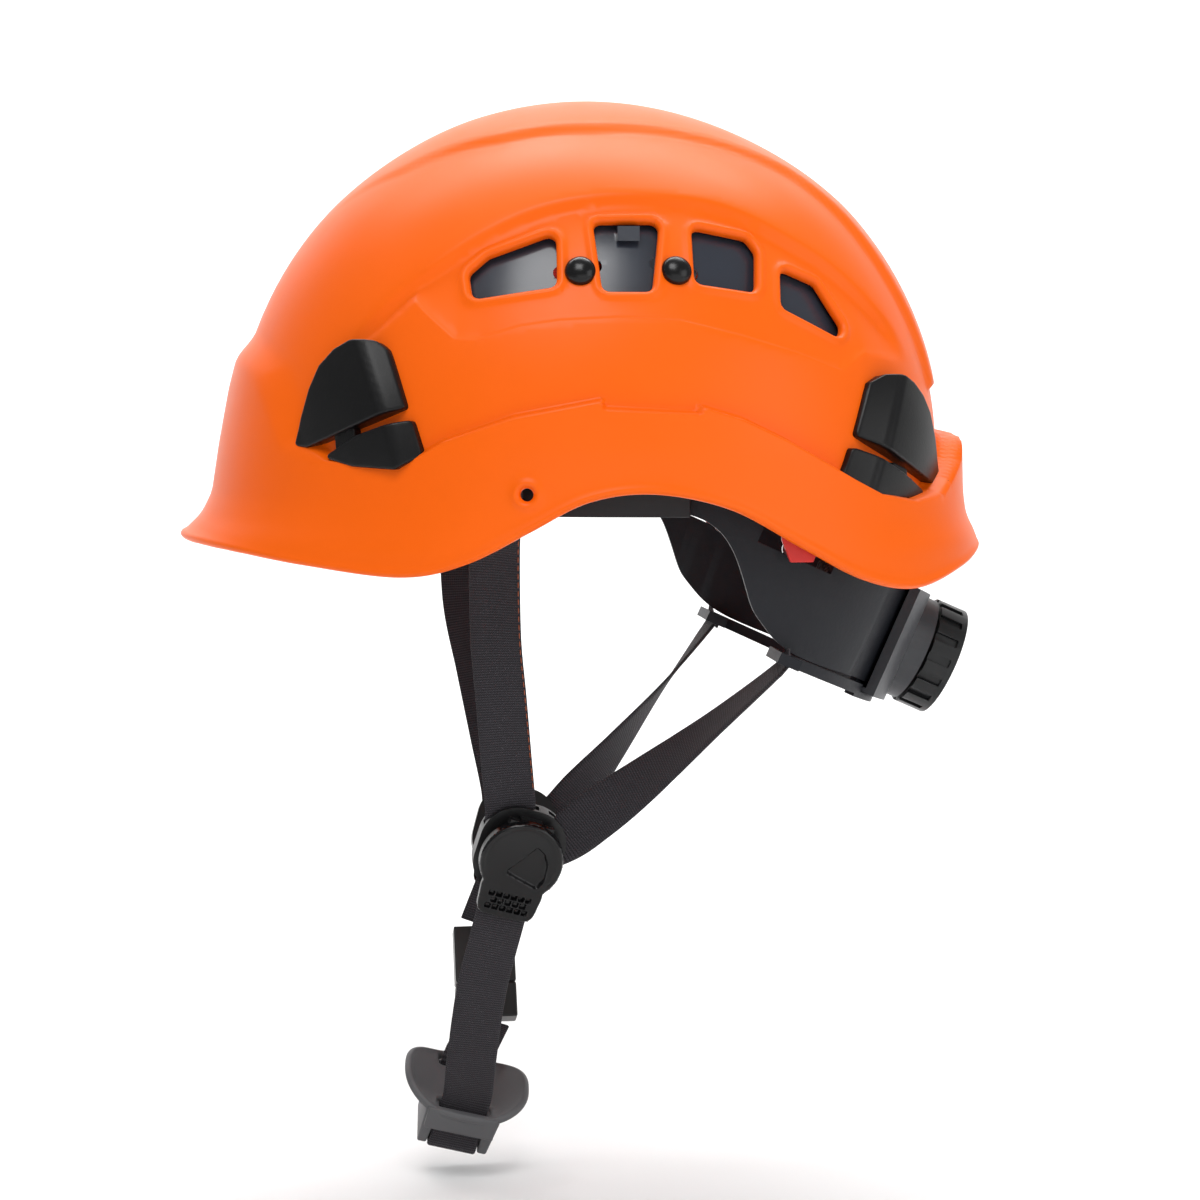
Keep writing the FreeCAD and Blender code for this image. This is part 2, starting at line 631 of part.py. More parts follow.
def make_knob():
    """Ribbed hand knob, its shaft, the pinion that drives both strips and the centre screw."""
    seat = NAPE.multiply(Placement(Vector(size("knob_seat"), 0, -size("knob_drop")), Rotation(Y_AXIS, 90)))
    knob = body("adjuster_knob", seat)
    disc = sketch(knob, "XY_Plane")
    circle(disc, 0, 0, "Sizes.knob_radius")
    pad(knob, disc, "Sizes.knob_thick")
    stem = sketch(knob, "XY_Plane")
    circle(stem, 0, 0, "Sizes.shaft_radius")
    pad(knob, stem, "10.3", reverse=True)
    grip = sketch(knob, "XY_Plane")
    rectangle(grip, 19.3, -1.5, 24, 1.5)
    polar(knob, pocket(knob, grip, "8.6", reverse=True), 16)
    dish = sketch(knob, "XY_Plane", size("knob_thick"))
    circle(dish, 0, 0, "Sizes.knob_radius - 5")
    pocket(knob, dish, "1.2")
    well = sketch(knob, "XY_Plane", size("knob_thick"))
    circle(well, 0, 0, "4.2")
    pocket(knob, well, "4")

    pinion_seat = NAPE.multiply(Placement(Vector(84.25, 0, -size("knob_drop")), Rotation(Y_AXIS, 90)))
    pinion = body("pinion", pinion_seat)
    hub = sketch(pinion, "XY_Plane")
    circle(hub, 0, 0, "Sizes.pinion_pitch - 1.1")
    pad(pinion, hub, "3.2")
    tooth = sketch(pinion, "XY_Plane")
    outline(tooth, [(4.0, -0.85), (6.6, -0.45), (6.6, 0.45), (4.0, 0.85)])
    polar(pinion, pad(pinion, tooth, "3.2"), int(size("pinion_teeth")))

    screw = body("knob_screw", seat)
    head = sketch(screw, "XY_Plane", size("knob_thick") - 4)
    circle(head, 0, 0, "3.6")
    pad(screw, head, "2.2")
    recess = sketch(screw, "XY_Plane", size("knob_thick") - 1.8)
    rectangle(recess, -2.4, -0.5, 2.4, 0.5)
    pocket(screw, recess, "1.1")


def make_hangers():
    """Side hangers from the shell wall; their pins carry the adjuster and run in its slots."""
    x = size("pin_x")
    z = size("pin_z")
    for name, side in SIDES:
        plate = side_prism([(x - 7, 16), (x + 7, 16), (x + 7, z + 4), (x + 4, z - 3.6), (x - 4, z - 3.6),
                            (x - 7, z + 4)], 87.7, 89.7)
        foot = block((x - 7, 87.7, 10), (x + 7, 120, 16))
        hanger = plate.fuse(foot).removeSplitter().common(fitting_space())
        node(feature(f"{name}_hanger_plate", for_side(hanger, side)), f"{name}_hanger")
        pin = Part.makeCylinder(size("pin_radius"), 12.7, Vector(x, 77, z), Y_AXIS)
        head = Part.makeCylinder(4.5, 1.6, Vector(x, 75.6, z), Y_AXIS)
        pin = pin.fuse(head).cut(hanger)
        node(feature(f"{name}_pin_solid", for_side(pin, side)), f"{name}_tilt_pin")


# ---------------------------------------------------------------- chin webbing
RIGHT_SHIFT = Vector(7, 0, -8)
DIVIDER_CENTRE = Vector(-34.6, 51, -124.7)
DIVIDER_TURN = Rotation(X_AXIS, -15).multiply(Rotation(Y_AXIS, 16))
FRONT_LEAN = 16.0
EYE_CLEAR = -44.1
SWING_PIVOT = Vector(-41.5, -46.5, -147.5)
BUCKLE_FACE = Vector(-40, 33, -188)
BUCKLE_LEAN = 27.4
CUP = Placement(Vector(-51.5, 0, -222), Rotation(Y_AXIS, 14).multiply(Rotation(X_AXIS, 18)))


def divider_place(side):
    centre = Vector(DIVIDER_CENTRE)
    if side > 0:
        centre = centre + RIGHT_SHIFT
    return Placement(centre, DIVIDER_TURN)


def divider_local(side, x, y, z):
    """A place given in the divider's own frame, on the +Y side."""
    return divider_place(side).multVec(Vector(x, y, z))


def make_head_straps():
    above_eye = block((0, 0, EYE_CLEAR), (120, 120, 0))
    above_eye.Placement = NAPE.multiply(above_eye.Placement)
    for name, side in SIDES:
        turn = DIVIDER_TURN
        across = turn.multiply(Rotation(Y_AXIS, -FRONT_LEAN)).multVec(X_AXIS)
        top = divider_local(side, -7.7, -5.8, 14.6)
        front = ribbon([(-46.5, 93.5, 10), (-45.7, 75, -15.5), (-44.6, 68.0, -45), tuple(top)],
                       [(0.94, 0.33, 0.1), (0.94, 0.33, 0), (0.95, 0.3, 0), tuple(across)])
        node(feature(f"{name}_front_web", for_side(front, side)), f"{name}_front_strap")
        anchor = block((-57, 88, 12.0), (-36, 118, 17)).common(fitting_space())
        node(feature(f"{name}_strap_anchor_solid", for_side(anchor, side)), f"{name}_strap_anchor")
        eye = NAPE.multVec(Vector(36.5, 78.5, -45.2))
        entry = divider_local(side, 14.2, -5.8, 7.6)
        inner = turn.multVec(Vector(0.6, 0, -0.8))
        middle = [eye + (entry - eye) * share for share in (0.3, 0.6)]
        rear = ribbon([tuple(eye), tuple(middle[0]), tuple(middle[1]), tuple(entry)],
                      [(0, 1, 0), (0.15, 0.97, -0.2), (0.4, 0.7, -0.5), tuple(inner)])
        rear = rear.cut(above_eye)
        node(feature(f"{name}_rear_web", for_side(rear, side)), f"{name}_rear_strap")


def make_divider(name, side):
    """Cam divider: slotted base, pinned cam lever with finger tab, and inner lock plate."""
    place = divider_place(side)
    half = size("base_width") / 2
    face_y = -2.6
    back_y = -9.0
    base = block((-half, back_y, -17), (half, face_y, 17))
    base = round_wall_edges(base, 13.0, Y_AXIS)
    web_slot = block((-9.8, -7.4, -40), (9.8, -4.2, 0))
    front_slot = block((-9.8, -7.4, -12), (9.8, -4.2, 40))
    front_slot.rotate(Vector(0, 0, 0), Y_AXIS, -FRONT_LEAN)
    front_slot.translate(Vector(-3, 0, 0))
    rear_slot = Part.makeBox(40, 3.2, 19.6, Vector(0, -7.4, -9.8))
    rear_slot.rotate(Vector(0, 0, 0), Y_AXIS, -37)
    rear_slot.translate(Vector(3, 0, 2))
    base = base.cut(web_slot).cut(front_slot).cut(rear_slot)
    z = size("hinge_height")
    y = 0.5
    ear = block((-4, face_y - 0.5, z - 1.8), (4, y, z + 1.8))
    ear = ear.fuse(Part.makeCylinder(1.8, 8, Vector(-4, y, z), X_AXIS))
    bore = Part.makeCylinder(size("hinge_radius") + 0.05, 40, Vector(-20, y, z), X_AXIS)
    base = base.fuse(ear).cut(bore).removeSplitter()

    radius = size("disc_radius")
    disc = Part.makeCylinder(radius, size("disc_thick"), Vector(0, 2.5, 0), Y_AXIS)
    tab = side_prism([(-11, -9), (11, -9), (9.5, -21.5), (-9.5, -21.5)], 2.5, 2.5 + size("disc_thick"))
    tab = round_wall_edges(tab, 2.0, Y_AXIS)
    lever = disc.fuse(tab)
    for start in (-8, 4.3):
        lug = block((start, y, z - 1.9), (start + 3.7, 3.0, z + 1.9))
        lug = lug.fuse(Part.makeCylinder(1.9, 3.7, Vector(start, y, z), X_AXIS))
        lever = lever.fuse(lug)
    cam = block((-7, -1.8, -6), (7, 2.8, 4))
    lever = lever.fuse(round_wall_edges(cam, 1.5, X_AXIS)).cut(bore).removeSplitter()

    pin = Part.makeCylinder(size("hinge_radius"), 16, Vector(-8, y, z), X_AXIS)
    lock = Part.makeCylinder(9.5, 1.8, Vector(0, back_y - 1.8, 1), Y_AXIS)
    for part, shape in (("base", base), ("lever", lever), ("pin", pin), ("lock_plate", lock)):
        solid = for_side(placed(shape, place), side)
        node(feature(f"{name}_divider_{part}_solid", solid), f"{name}_divider_{part}")


def cup_place(x, y, z):
    return CUP.multVec(Vector(x, y, z))


BUCKLE = Placement(BUCKLE_FACE, Rotation(X_AXIS, -BUCKLE_LEAN))


def make_chin_strap():
    start = SWING_PIVOT
    points = [start, Vector(-47.2, -36, -175.4), Vector(-50, -24, -204), cup_place(0, -12.5, 2),
              cup_place(0, -12.5, -17), cup_place(0, 12.5, -17), cup_place(0, 12.5, 2),
              BUCKLE.multVec(Vector(0, 0, -14.2))]
    level = CUP.Rotation.multVec(X_AXIS)
    upper = Rotation(Y_AXIS, 11).multVec(X_AXIS)
    acrosses = [upper, upper, level, level, level, level, level, X_AXIS]
    strap = ribbon([tuple(p) for p in points], [tuple(a) for a in acrosses])
    node(feature("chin_web", strap), "chin_strap")
    bottom = divider_local(1, 0, -5.8, -17.3)
    top = BUCKLE.multVec(Vector(0, 0, size("socket_length") + 2.4))
    link = ribbon([tuple(bottom), tuple(top)], [tuple(DIVIDER_TURN.multVec(X_AXIS)), (1, 0, 0)])
    node(feature("buckle_web", link), "buckle_strap")


def make_buckle():
    """Side-release buckle between the right divider and the chin strap."""
    half = size("buckle_width") / 2
    deep = size("buckle_thick") / 2
    length = size("socket_length")
    socket = body("buckle_socket", BUCKLE)
    profile = sketch(socket, "XY_Plane")
    rectangle(profile, -half, -deep, half, deep)
    pad(socket, profile, "Sizes.socket_length")
    cavity = sketch(socket, "XY_Plane")
    rectangle(cavity, -half + 2, -deep + 2, half - 2, deep - 2)
    pocket(socket, cavity, "15", reverse=True)
    web_slot = sketch(socket, "XY_Plane", length)
    rectangle(web_slot, -9.8, -1.6, 9.8, 1.6)
    pocket(socket, web_slot, "3")

    plug = body("buckle_plug", BUCKLE)
    bar = sketch(plug, "XY_Plane", -0.3)
    rectangle(bar, -half, -deep, half, deep)
    pad(plug, bar, "13.5", reverse=True)
    for low, high in ((-half + 3, -half + 6.5), (half - 6.5, half - 3), (-1.5, 1.5)):
        prong = sketch(plug, "XY_Plane", -0.3)
        rectangle(prong, low, -deep + 3, high, deep - 3)
        pad(plug, prong, "12")


def make_chin_cup():
    """Saddle-shaped chin rest with two webbing slots and side cheeks under it."""
    half_length = size("cup_length") / 2
    half_width = size("cup_width") / 2
    sag = 7.0
    thick = 2.4
    low = Part.Arc(Vector(-half_length, 0, sag), Vector(0, 0, 0), Vector(half_length, 0, sag))
    high = Part.Arc(Vector(half_length, 0, sag + thick), Vector(0, 0, thick),
                    Vector(-half_length, 0, sag + thick))
    ends = [Part.LineSegment(low.EndPoint, high.StartPoint), Part.LineSegment(high.EndPoint, low.StartPoint)]
    wire = Part.Wire([low.toShape(), ends[0].toShape(), high.toShape(), ends[1].toShape()])
    saddle = Part.Face(wire).extrude(Vector(0, 2 * half_width, 0))
    saddle.translate(Vector(0, -half_width, 0))
    plan = Part.Face(Part.Wire([Part.Ellipse(Vector(0, 0, -5), half_length * 1.12,
                                             half_width * 1.12).toShape()]))
    saddle = saddle.common(plan.extrude(Vector(0, 0, 40)))
    under = block((-13, -half_width + 1, -8), (13, half_width - 1, 1.5))
    cheeks = [block((x - 1.7, -half_width + 4, -16.5), (x + 1.7, half_width - 4, 0)) for x in (-11.3, 11.3)]
    cup = saddle.fuse([under] + cheeks)
    for y in (-12.5, 12.5):
        cup = cup.cut(block((-9.6, y - 6.0, -30), (9.6, y + 6.0, 30)))
    node(feature("cup_saddle", placed(cup.removeSplitter(), CUP)), "chin_cup")


# ---------------------------------------------------------------- build and export
shell_outside = make_shell()
make_clips(shell_outside)
doc.recompute()
make_shutters()
make_rivets()
make_headband()
make_crown()
make_anchors()
make_wings()
make_housing()
make_cradle()
make_knob()
make_hangers()
make_head_straps()
for side_name, side_sign in SIDES:
    make_divider(side_name, side_sign)
make_chin_strap()
make_buckle()
make_chin_cup()
doc.recompute()

for obj in doc.Objects:
    if "Invalid" in obj.State or "Error" in obj.State:
        raise RuntimeError(f"{obj.Name} did not recompute")
os.makedirs("parts", exist_ok=True)
for name, obj in nodes.items():
    shape = obj.Shape
    if shape.isNull() or not shape.isValid() or not shape.Solids:
        raise RuntimeError(f"{name} has no valid solid")
    shape.exportStep(f"parts/{name}.step")
    print(f"{name:26s} {len(shape.Solids)} solid {shape.Volume / 1000:8.2f} cm3")
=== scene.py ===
"""Looks of the arborist helmet: moulded shell, vents, clips, suspension, nape ratchet and chin webbing.

Lengths inside the shape functions are millimetres; meshes are written in metres.
"""
import bmesh
import bpy
import json
import math
import numpy as np
from mathutils import Matrix, Vector
from mathutils.geometry import delaunay_2d_cdt


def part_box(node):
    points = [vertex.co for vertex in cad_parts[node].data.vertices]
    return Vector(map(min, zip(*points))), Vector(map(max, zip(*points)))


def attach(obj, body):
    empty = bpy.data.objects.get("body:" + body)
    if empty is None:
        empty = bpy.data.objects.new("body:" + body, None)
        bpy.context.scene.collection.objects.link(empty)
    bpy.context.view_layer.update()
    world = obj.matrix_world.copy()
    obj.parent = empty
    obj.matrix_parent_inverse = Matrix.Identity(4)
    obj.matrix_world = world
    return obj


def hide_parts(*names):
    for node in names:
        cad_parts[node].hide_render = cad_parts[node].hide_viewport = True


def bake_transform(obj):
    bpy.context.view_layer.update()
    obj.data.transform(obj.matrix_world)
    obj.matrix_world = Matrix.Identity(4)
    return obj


MM = 0.001
CORNER_ANGLE = math.radians(40)
SIDES = (("left", -1), ("right", 1))

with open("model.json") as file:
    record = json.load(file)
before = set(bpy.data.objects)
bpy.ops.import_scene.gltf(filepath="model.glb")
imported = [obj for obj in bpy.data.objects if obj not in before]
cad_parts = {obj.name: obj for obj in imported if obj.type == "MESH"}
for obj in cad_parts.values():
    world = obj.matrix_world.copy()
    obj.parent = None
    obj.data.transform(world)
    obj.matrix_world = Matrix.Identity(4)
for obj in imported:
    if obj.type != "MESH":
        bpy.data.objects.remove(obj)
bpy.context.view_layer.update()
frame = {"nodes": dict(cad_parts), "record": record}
JOINTS = {joint["name"]: joint for joint in frame["record"]["behaviour"]["joints"]}
BODY_OF = {node: body for body, names in frame["record"]["behaviour"]["bodies"].items() for node in names}


def joint_place(name):
    """Where a joint's axis passes, in millimetres."""
    return np.array(JOINTS[name]["pos_m"]) / MM


# ---------------------------------------------------------------- materials
def new_group(name, inputs, outputs):
    group = bpy.data.node_groups.new(name, "ShaderNodeTree")
    for label, kind, value in inputs:
        socket = group.interface.new_socket(label, in_out="INPUT", socket_type=kind)
        socket.default_value = value
    for label, kind in outputs:
        group.interface.new_socket(label, in_out="OUTPUT", socket_type=kind)
    return group, group.nodes.new("NodeGroupInput"), group.nodes.new("NodeGroupOutput")


def add(tree, kind, **values):
    """A node with its properties or unlinked inputs set by name."""
    made = tree.nodes.new(kind)
    for key, value in values.items():
        if key in made.inputs:
            made.inputs[key].default_value = value
        else:
            setattr(made, key, value)
    return made


def sums(tree, operation, a, b, clamp=False):
    made = tree.nodes.new("ShaderNodeMath")
    made.operation = operation
    made.use_clamp = clamp
    for slot, value in zip(made.inputs, (a, b)):
        if isinstance(value, (int, float)):
            slot.default_value = value
        else:
            tree.links.new(value, slot)
    return made.outputs[0]


def grain_group():
    """Fine moulding texture: a height for bump and a slow mask for uneven sheen."""
    group, given, made = new_group("Moulded grain",
                                   [("Vector", "NodeSocketVector", (0, 0, 0)),
                                    ("Grain Size", "NodeSocketFloat", 900.0)],
                                   [("Height", "NodeSocketFloat"), ("Sheen", "NodeSocketFloat")])
    link = group.links.new
    fine = add(group, "ShaderNodeTexNoise", Detail=3.0, Roughness=0.6)
    slow = add(group, "ShaderNodeTexNoise", Scale=24.0, Detail=4.0, Roughness=0.55)
    spots = add(group, "ShaderNodeTexVoronoi")
    for texture in (fine, slow, spots):
        link(given.outputs["Vector"], texture.inputs["Vector"])
    link(given.outputs["Grain Size"], fine.inputs["Scale"])
    link(sums(group, "MULTIPLY", given.outputs["Grain Size"], 0.6), spots.inputs["Scale"])
    height = sums(group, "ADD", sums(group, "MULTIPLY", fine.outputs["Fac"], 0.7),
                  sums(group, "MULTIPLY", spots.outputs["Distance"], 0.3))
    link(height, made.inputs["Height"])
    link(slow.outputs["Fac"], made.inputs["Sheen"])
    return group


def weave_group():
    """Webbing: crosswise ribs along the length, warp threads across, from UVs in metres; the second output
    masks painted shade in the grooves between the ribs.
    """
    group, given, made = new_group("Webbing weave",
                                   [("Vector", "NodeSocketVector", (0, 0, 0)),
                                    ("Rib Pitch", "NodeSocketFloat", 0.0012),
                                    ("Thread Pitch", "NodeSocketFloat", 0.0009)],
                                   [("Height", "NodeSocketFloat"), ("Groove Shade", "NodeSocketFloat")])
    link = group.links.new
    split = add(group, "ShaderNodeSeparateXYZ")
    link(given.outputs["Vector"], split.inputs[0])
    turns = []
    for axis, label in ((0, "Rib Pitch"), (1, "Thread Pitch")):
        phase = sums(group, "DIVIDE", split.outputs[axis], given.outputs[label])
        turns.append(sums(group, "MULTIPLY", phase, 2 * math.pi))
    threads = sums(group, "MULTIPLY", sums(group, "SINE", turns[1], 0.0), 0.9)
    ribs = sums(group, "SINE", sums(group, "ADD", turns[0], threads), 0.0)
    ribs = sums(group, "ADD", sums(group, "MULTIPLY", ribs, 0.5), 0.5)
    warp = sums(group, "ADD", sums(group, "MULTIPLY", sums(group, "COSINE", turns[1], 0.0), 0.25), 0.25)
    fuzz = add(group, "ShaderNodeTexNoise", Scale=2600.0, Detail=3.0)
    link(given.outputs["Vector"], fuzz.inputs["Vector"])
    height = sums(group, "ADD", sums(group, "ADD", sums(group, "MULTIPLY", ribs, 0.6), warp),
                  sums(group, "MULTIPLY", fuzz.outputs["Fac"], 0.25))
    link(height, made.inputs["Height"])
    # Painted shade: the lower the rib height, the more the grooves take the darker colour.
    link(sums(group, "SUBTRACT", 1.0, ribs, clamp=True), made.inputs["Groove Shade"])
    return group


GRAIN = grain_group()
WEAVE = weave_group()


def new_material(name):
    material = bpy.data.materials.new(name)
    material.use_nodes = True
    tree = material.node_tree
    shader = next(n for n in tree.nodes if n.type == "BSDF_PRINCIPLED")
    return material, tree, shader


def plastic(name, colour, roughness=0.4, bump=0.12, grain_size=900.0, shade=0.85, metallic=0.0,
            specular=0.5):
    """Moulded plastic, rubber or metal: fine grain bump, uneven sheen, slightly mottled colour."""
    material, tree, shader = new_material(name)
    link = tree.links.new
    place = add(tree, "ShaderNodeTexCoord")
    grain = add(tree, "ShaderNodeGroup", node_tree=GRAIN)
    grain.inputs["Grain Size"].default_value = grain_size
    link(place.outputs["Object"], grain.inputs["Vector"])
    relief = add(tree, "ShaderNodeBump", Strength=bump, Distance=0.0002)
    link(grain.outputs["Height"], relief.inputs["Height"])
    link(relief.outputs["Normal"], shader.inputs["Normal"])
    sheen = add(tree, "ShaderNodeMapRange")
    sheen.inputs["From Min"].default_value = 0.35
    sheen.inputs["From Max"].default_value = 0.65
    sheen.inputs["To Min"].default_value = roughness * 0.92
    sheen.inputs["To Max"].default_value = roughness * 1.1
    link(grain.outputs["Sheen"], sheen.inputs["Value"])
    link(sheen.outputs["Result"], shader.inputs["Roughness"])
    tint = add(tree, "ShaderNodeMix", data_type="RGBA")
    tint.inputs["A"].default_value = (*(c * shade for c in colour), 1)
    tint.inputs["B"].default_value = (*colour, 1)
    link(grain.outputs["Sheen"], tint.inputs["Factor"])
    link(tint.outputs["Result"], shader.inputs["Base Color"])
    shader.inputs["Specular IOR Level"].default_value = specular
    shader.inputs["Metallic"].default_value = metallic
    return material


def woven(name, colour, groove_shade_colour, rib=0.0012, thread=0.0009, bump=0.6, roughness=0.8, source="UV"):
    """Woven webbing laid out on UVs in metres, or knitted fabric on Object coordinates, with painted shade
    in the grooves between the ribs.
    """
    material, tree, shader = new_material(name)
    link = tree.links.new
    place = add(tree, "ShaderNodeTexCoord")
    weave = add(tree, "ShaderNodeGroup", node_tree=WEAVE)
    weave.inputs["Rib Pitch"].default_value = rib
    weave.inputs["Thread Pitch"].default_value = thread
    link(place.outputs[source], weave.inputs["Vector"])
    relief = add(tree, "ShaderNodeBump", Strength=bump, Distance=0.0003)
    link(weave.outputs["Height"], relief.inputs["Height"])
    link(relief.outputs["Normal"], shader.inputs["Normal"])
    # Painted shade: the second colour darkens the grooves between the ribs.
    tint = add(tree, "ShaderNodeMix", data_type="RGBA")
    tint.inputs["A"].default_value = (*colour, 1)
    tint.inputs["B"].default_value = (*groove_shade_colour, 1)
    link(weave.outputs["Groove Shade"], tint.inputs["Factor"])
    link(tint.outputs["Result"], shader.inputs["Base Color"])
    shader.inputs["Roughness"].default_value = roughness
    shader.inputs["Specular IOR Level"].default_value = 0.3
    shader.inputs["Sheen Weight"].default_value = 0.08
    return material


MATERIALS = {
    "shell_plastic": plastic("Orange shell", (0.92, 0.126, 0.001), 0.38, 0.05, 1500.0, shade=0.93,
                             specular=0.2),
    "clip_plastic": plastic("Black clip", (0.004, 0.004, 0.0045), 0.36, 0.2, 1100.0, specular=0.26),
    "rivet_plastic": plastic("Black rivet", (0.004, 0.004, 0.0045), 0.24, 0.1, specular=0.32),
    "shutter_plastic": plastic("Shutter", (0.03, 0.036, 0.05), 0.22, 0.02, specular=0.5),
    "band_plastic": plastic("Band", (0.014, 0.014, 0.016), 0.5, 0.3, specular=0.35),
    # In the woven finishes, the second colour is the painted shade of the grooves between the ribs.
    "red_webbing": woven("Red webbing", (0.72, 0.03, 0.02), (0.35, 0.01, 0.01)),
    "red_plastic": plastic("Red fitting", (0.75, 0.02, 0.012), 0.4, 0.15),
    "pad_fabric": woven("Pad fabric", (0.022, 0.022, 0.026), (0.006, 0.006, 0.007), 0.0016, 0.0016, 0.8,
                        source="Object"),
    "wing_plastic": plastic("Wing", (0.010, 0.011, 0.015), 0.48, 0.4, 800.0, specular=0.25),
    "housing_plastic": plastic("Housing", (0.05, 0.052, 0.058), 0.42, 0.2, specular=0.4),
    "knob_plastic": plastic("Knob", (0.008, 0.009, 0.01), 0.36, 0.15, specular=0.4),
    "pin_steel": plastic("Pin steel", (0.55, 0.55, 0.56), 0.25, 0.05, metallic=1.0),
    "spring_steel": plastic("Spring steel", (0.5, 0.5, 0.52), 0.3, 0.05, metallic=1.0),
    "webbing": woven("Charcoal webbing", (0.040, 0.036, 0.043), (0.008, 0.007, 0.009), 0.00095, 0.0008),
    "lever_plastic": plastic("Lever", (0.003, 0.003, 0.0035), 0.24, 0.08, specular=0.36),
    "buckle_plastic": plastic("Buckle", (0.008, 0.008, 0.0085), 0.35, 0.15, specular=0.4),
    "cup_rubber": plastic("Cup rubber", (0.085, 0.085, 0.09), 0.5, 0.25, 800.0),
}


# ---------------------------------------------------------------- mesh helpers
def finish_piece(obj, body, slot, replaced=(), material=None):
    """Give a piece its finish, its body and the CAD nodes it stands for."""
    obj.data.materials.clear()
    obj.data.materials.append(material or MATERIALS[slot])
    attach(obj, body)
    if replaced:
        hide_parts(*replaced)
    return obj


def new_mesh(name, points, faces, smooth_below=180.0):
    """A mesh object from points in millimetres."""
    mesh = bpy.data.meshes.new(name)
    mesh.from_pydata([tuple(p) for p in np.asarray(points, float) * MM], [], [tuple(f) for f in faces])
    mesh.update()
    tidy = bmesh.new()
    tidy.from_mesh(mesh)
    bmesh.ops.recalc_face_normals(tidy, faces=tidy.faces)
    tidy.to_mesh(mesh)
    tidy.free()
    mesh.shade_smooth()
    if smooth_below < 180:
        mesh.set_sharp_from_angle(angle=math.radians(smooth_below))
    obj = bpy.data.objects.new(name, mesh)
    bpy.context.scene.collection.objects.link(obj)
    return obj


def refined(node, slot, width, segments=2):
    """A copy of a CAD node with welded corners and edges softened to a width, standing for that node."""
    mesh = frame["nodes"][node].data.copy()
    work = bmesh.new()
    work.from_mesh(mesh)
    bmesh.ops.remove_doubles(work, verts=work.verts, dist=0.01 * MM)
    bmesh.ops.dissolve_degenerate(work, edges=work.edges, dist=0.02 * MM)
    bmesh.ops.dissolve_limit(work, angle_limit=math.radians(0.6), verts=work.verts, edges=work.edges)
    bmesh.ops.recalc_face_normals(work, faces=work.faces)
    mesh.clear_geometry()
    work.to_mesh(mesh)
    work.free()
    mesh.shade_smooth()
    mesh.set_sharp_from_angle(angle=CORNER_ANGLE)
    obj = bpy.data.objects.new(node + "_look", mesh)
    bpy.context.scene.collection.objects.link(obj)
    bevel = obj.modifiers.new("Soft edges", "BEVEL")
    bevel.width = width * MM
    bevel.segments = segments
    bevel.limit_method = "ANGLE"
    bevel.angle_limit = CORNER_ANGLE
    bevel.use_clamp_overlap = True
    bevel.harden_normals = True
    finish_piece(obj, BODY_OF[node], slot, (node,))


def smooth_line(points, gap, closed=False):
    """Points every gap or so along a Catmull-Rom curve through the given points."""
    points = np.asarray(points, float)
    if closed:
        points = np.vstack([points[-1:], points, points[:2]])
    else:
        points = np.vstack([2 * points[0] - points[1], points, 2 * points[-1] - points[-2]])
    out = []
    for p0, p1, p2, p3 in zip(points, points[1:], points[2:], points[3:]):
        steps = max(1, int(math.ceil(np.linalg.norm(p2 - p1) / gap)))
        t = (np.arange(steps) / steps)[:, None]
        out.append(0.5 * (2 * p1 + (p2 - p0) * t + (2 * p0 - 5 * p1 + 4 * p2 - p3) * t ** 2
                          + (3 * p1 - p0 - 3 * p2 + p3) * t ** 3))
    if not closed:
        out.append(points[-2:-1])
    return np.vstack(out)


def rounded_loop(corners, radius, gap):
    """A closed loop through corners, each turned with the given radius, with points every gap or so."""
    corners = np.asarray(corners, float)
    loop = []
    for before, corner, after in zip(np.roll(corners, 1, 0), corners, np.roll(corners, -1, 0)):
        to_before = (before - corner) / np.linalg.norm(before - corner)
        to_after = (after - corner) / np.linalg.norm(after - corner)
        half = math.acos(np.clip(np.dot(to_before, to_after), -1, 1)) / 2
        reach = radius / math.tan(half)
        inwards = (to_before + to_after) / np.linalg.norm(to_before + to_after)
        middle = corner + inwards * radius / math.sin(half)
        start = corner + to_before * reach - middle
        end = corner + to_after * reach - middle
        sweep = math.atan2(start[0] * end[1] - start[1] * end[0], np.dot(start, end))
        steps = max(3, int(abs(sweep) * radius / gap) + 1)
        for turn in np.linspace(0, sweep, steps + 1):
            c, s = math.cos(turn), math.sin(turn)
            loop.append(middle + np.array([start[0] * c - start[1] * s, start[0] * s + start[1] * c]))
    return even_loop(np.array(loop), gap)


def even_loop(loop, gap):
    closed = np.vstack([loop, loop[:1]])
    lengths = np.concatenate([[0], np.cumsum(np.linalg.norm(np.diff(closed, axis=0), axis=1))])
    count = max(8, int(round(lengths[-1] / gap)))
    at = np.linspace(0, lengths[-1], count, endpoint=False)
    return np.column_stack([np.interp(at, lengths, closed[:, k]) for k in range(closed.shape[1])])


def inside(points, polygon):
    """Which points lie inside a polygon."""
    x, y = points[:, 0], points[:, 1]
    result = np.zeros(len(points), bool)
    for (ax, ay), (bx, by) in zip(polygon, np.roll(polygon, -1, 0)):
        if ay != by:
            crosses = (ay > y) != (by > y)
            result ^= crosses & (x < (bx - ax) * (y - ay) / (by - ay) + ax)
    return result


def distance_to(points, line, closed=False):
    """Distance from each point to a polyline."""
    line = np.asarray(line, float)
    ends = np.roll(line, -1, 0) if closed else line[1:]
    best = np.full(len(points), np.inf)
    for a, b in zip(line, ends):
        run = b - a
        t = np.clip(((points - a) @ run) / max(run @ run, 1e-12), 0, 1)
        best = np.minimum(best, np.linalg.norm(points - a - t[:, None] * run, axis=1))
    return best


def smoothstep(x):
    x = np.clip(x, 0, 1)
    return x * x * (3 - 2 * x)


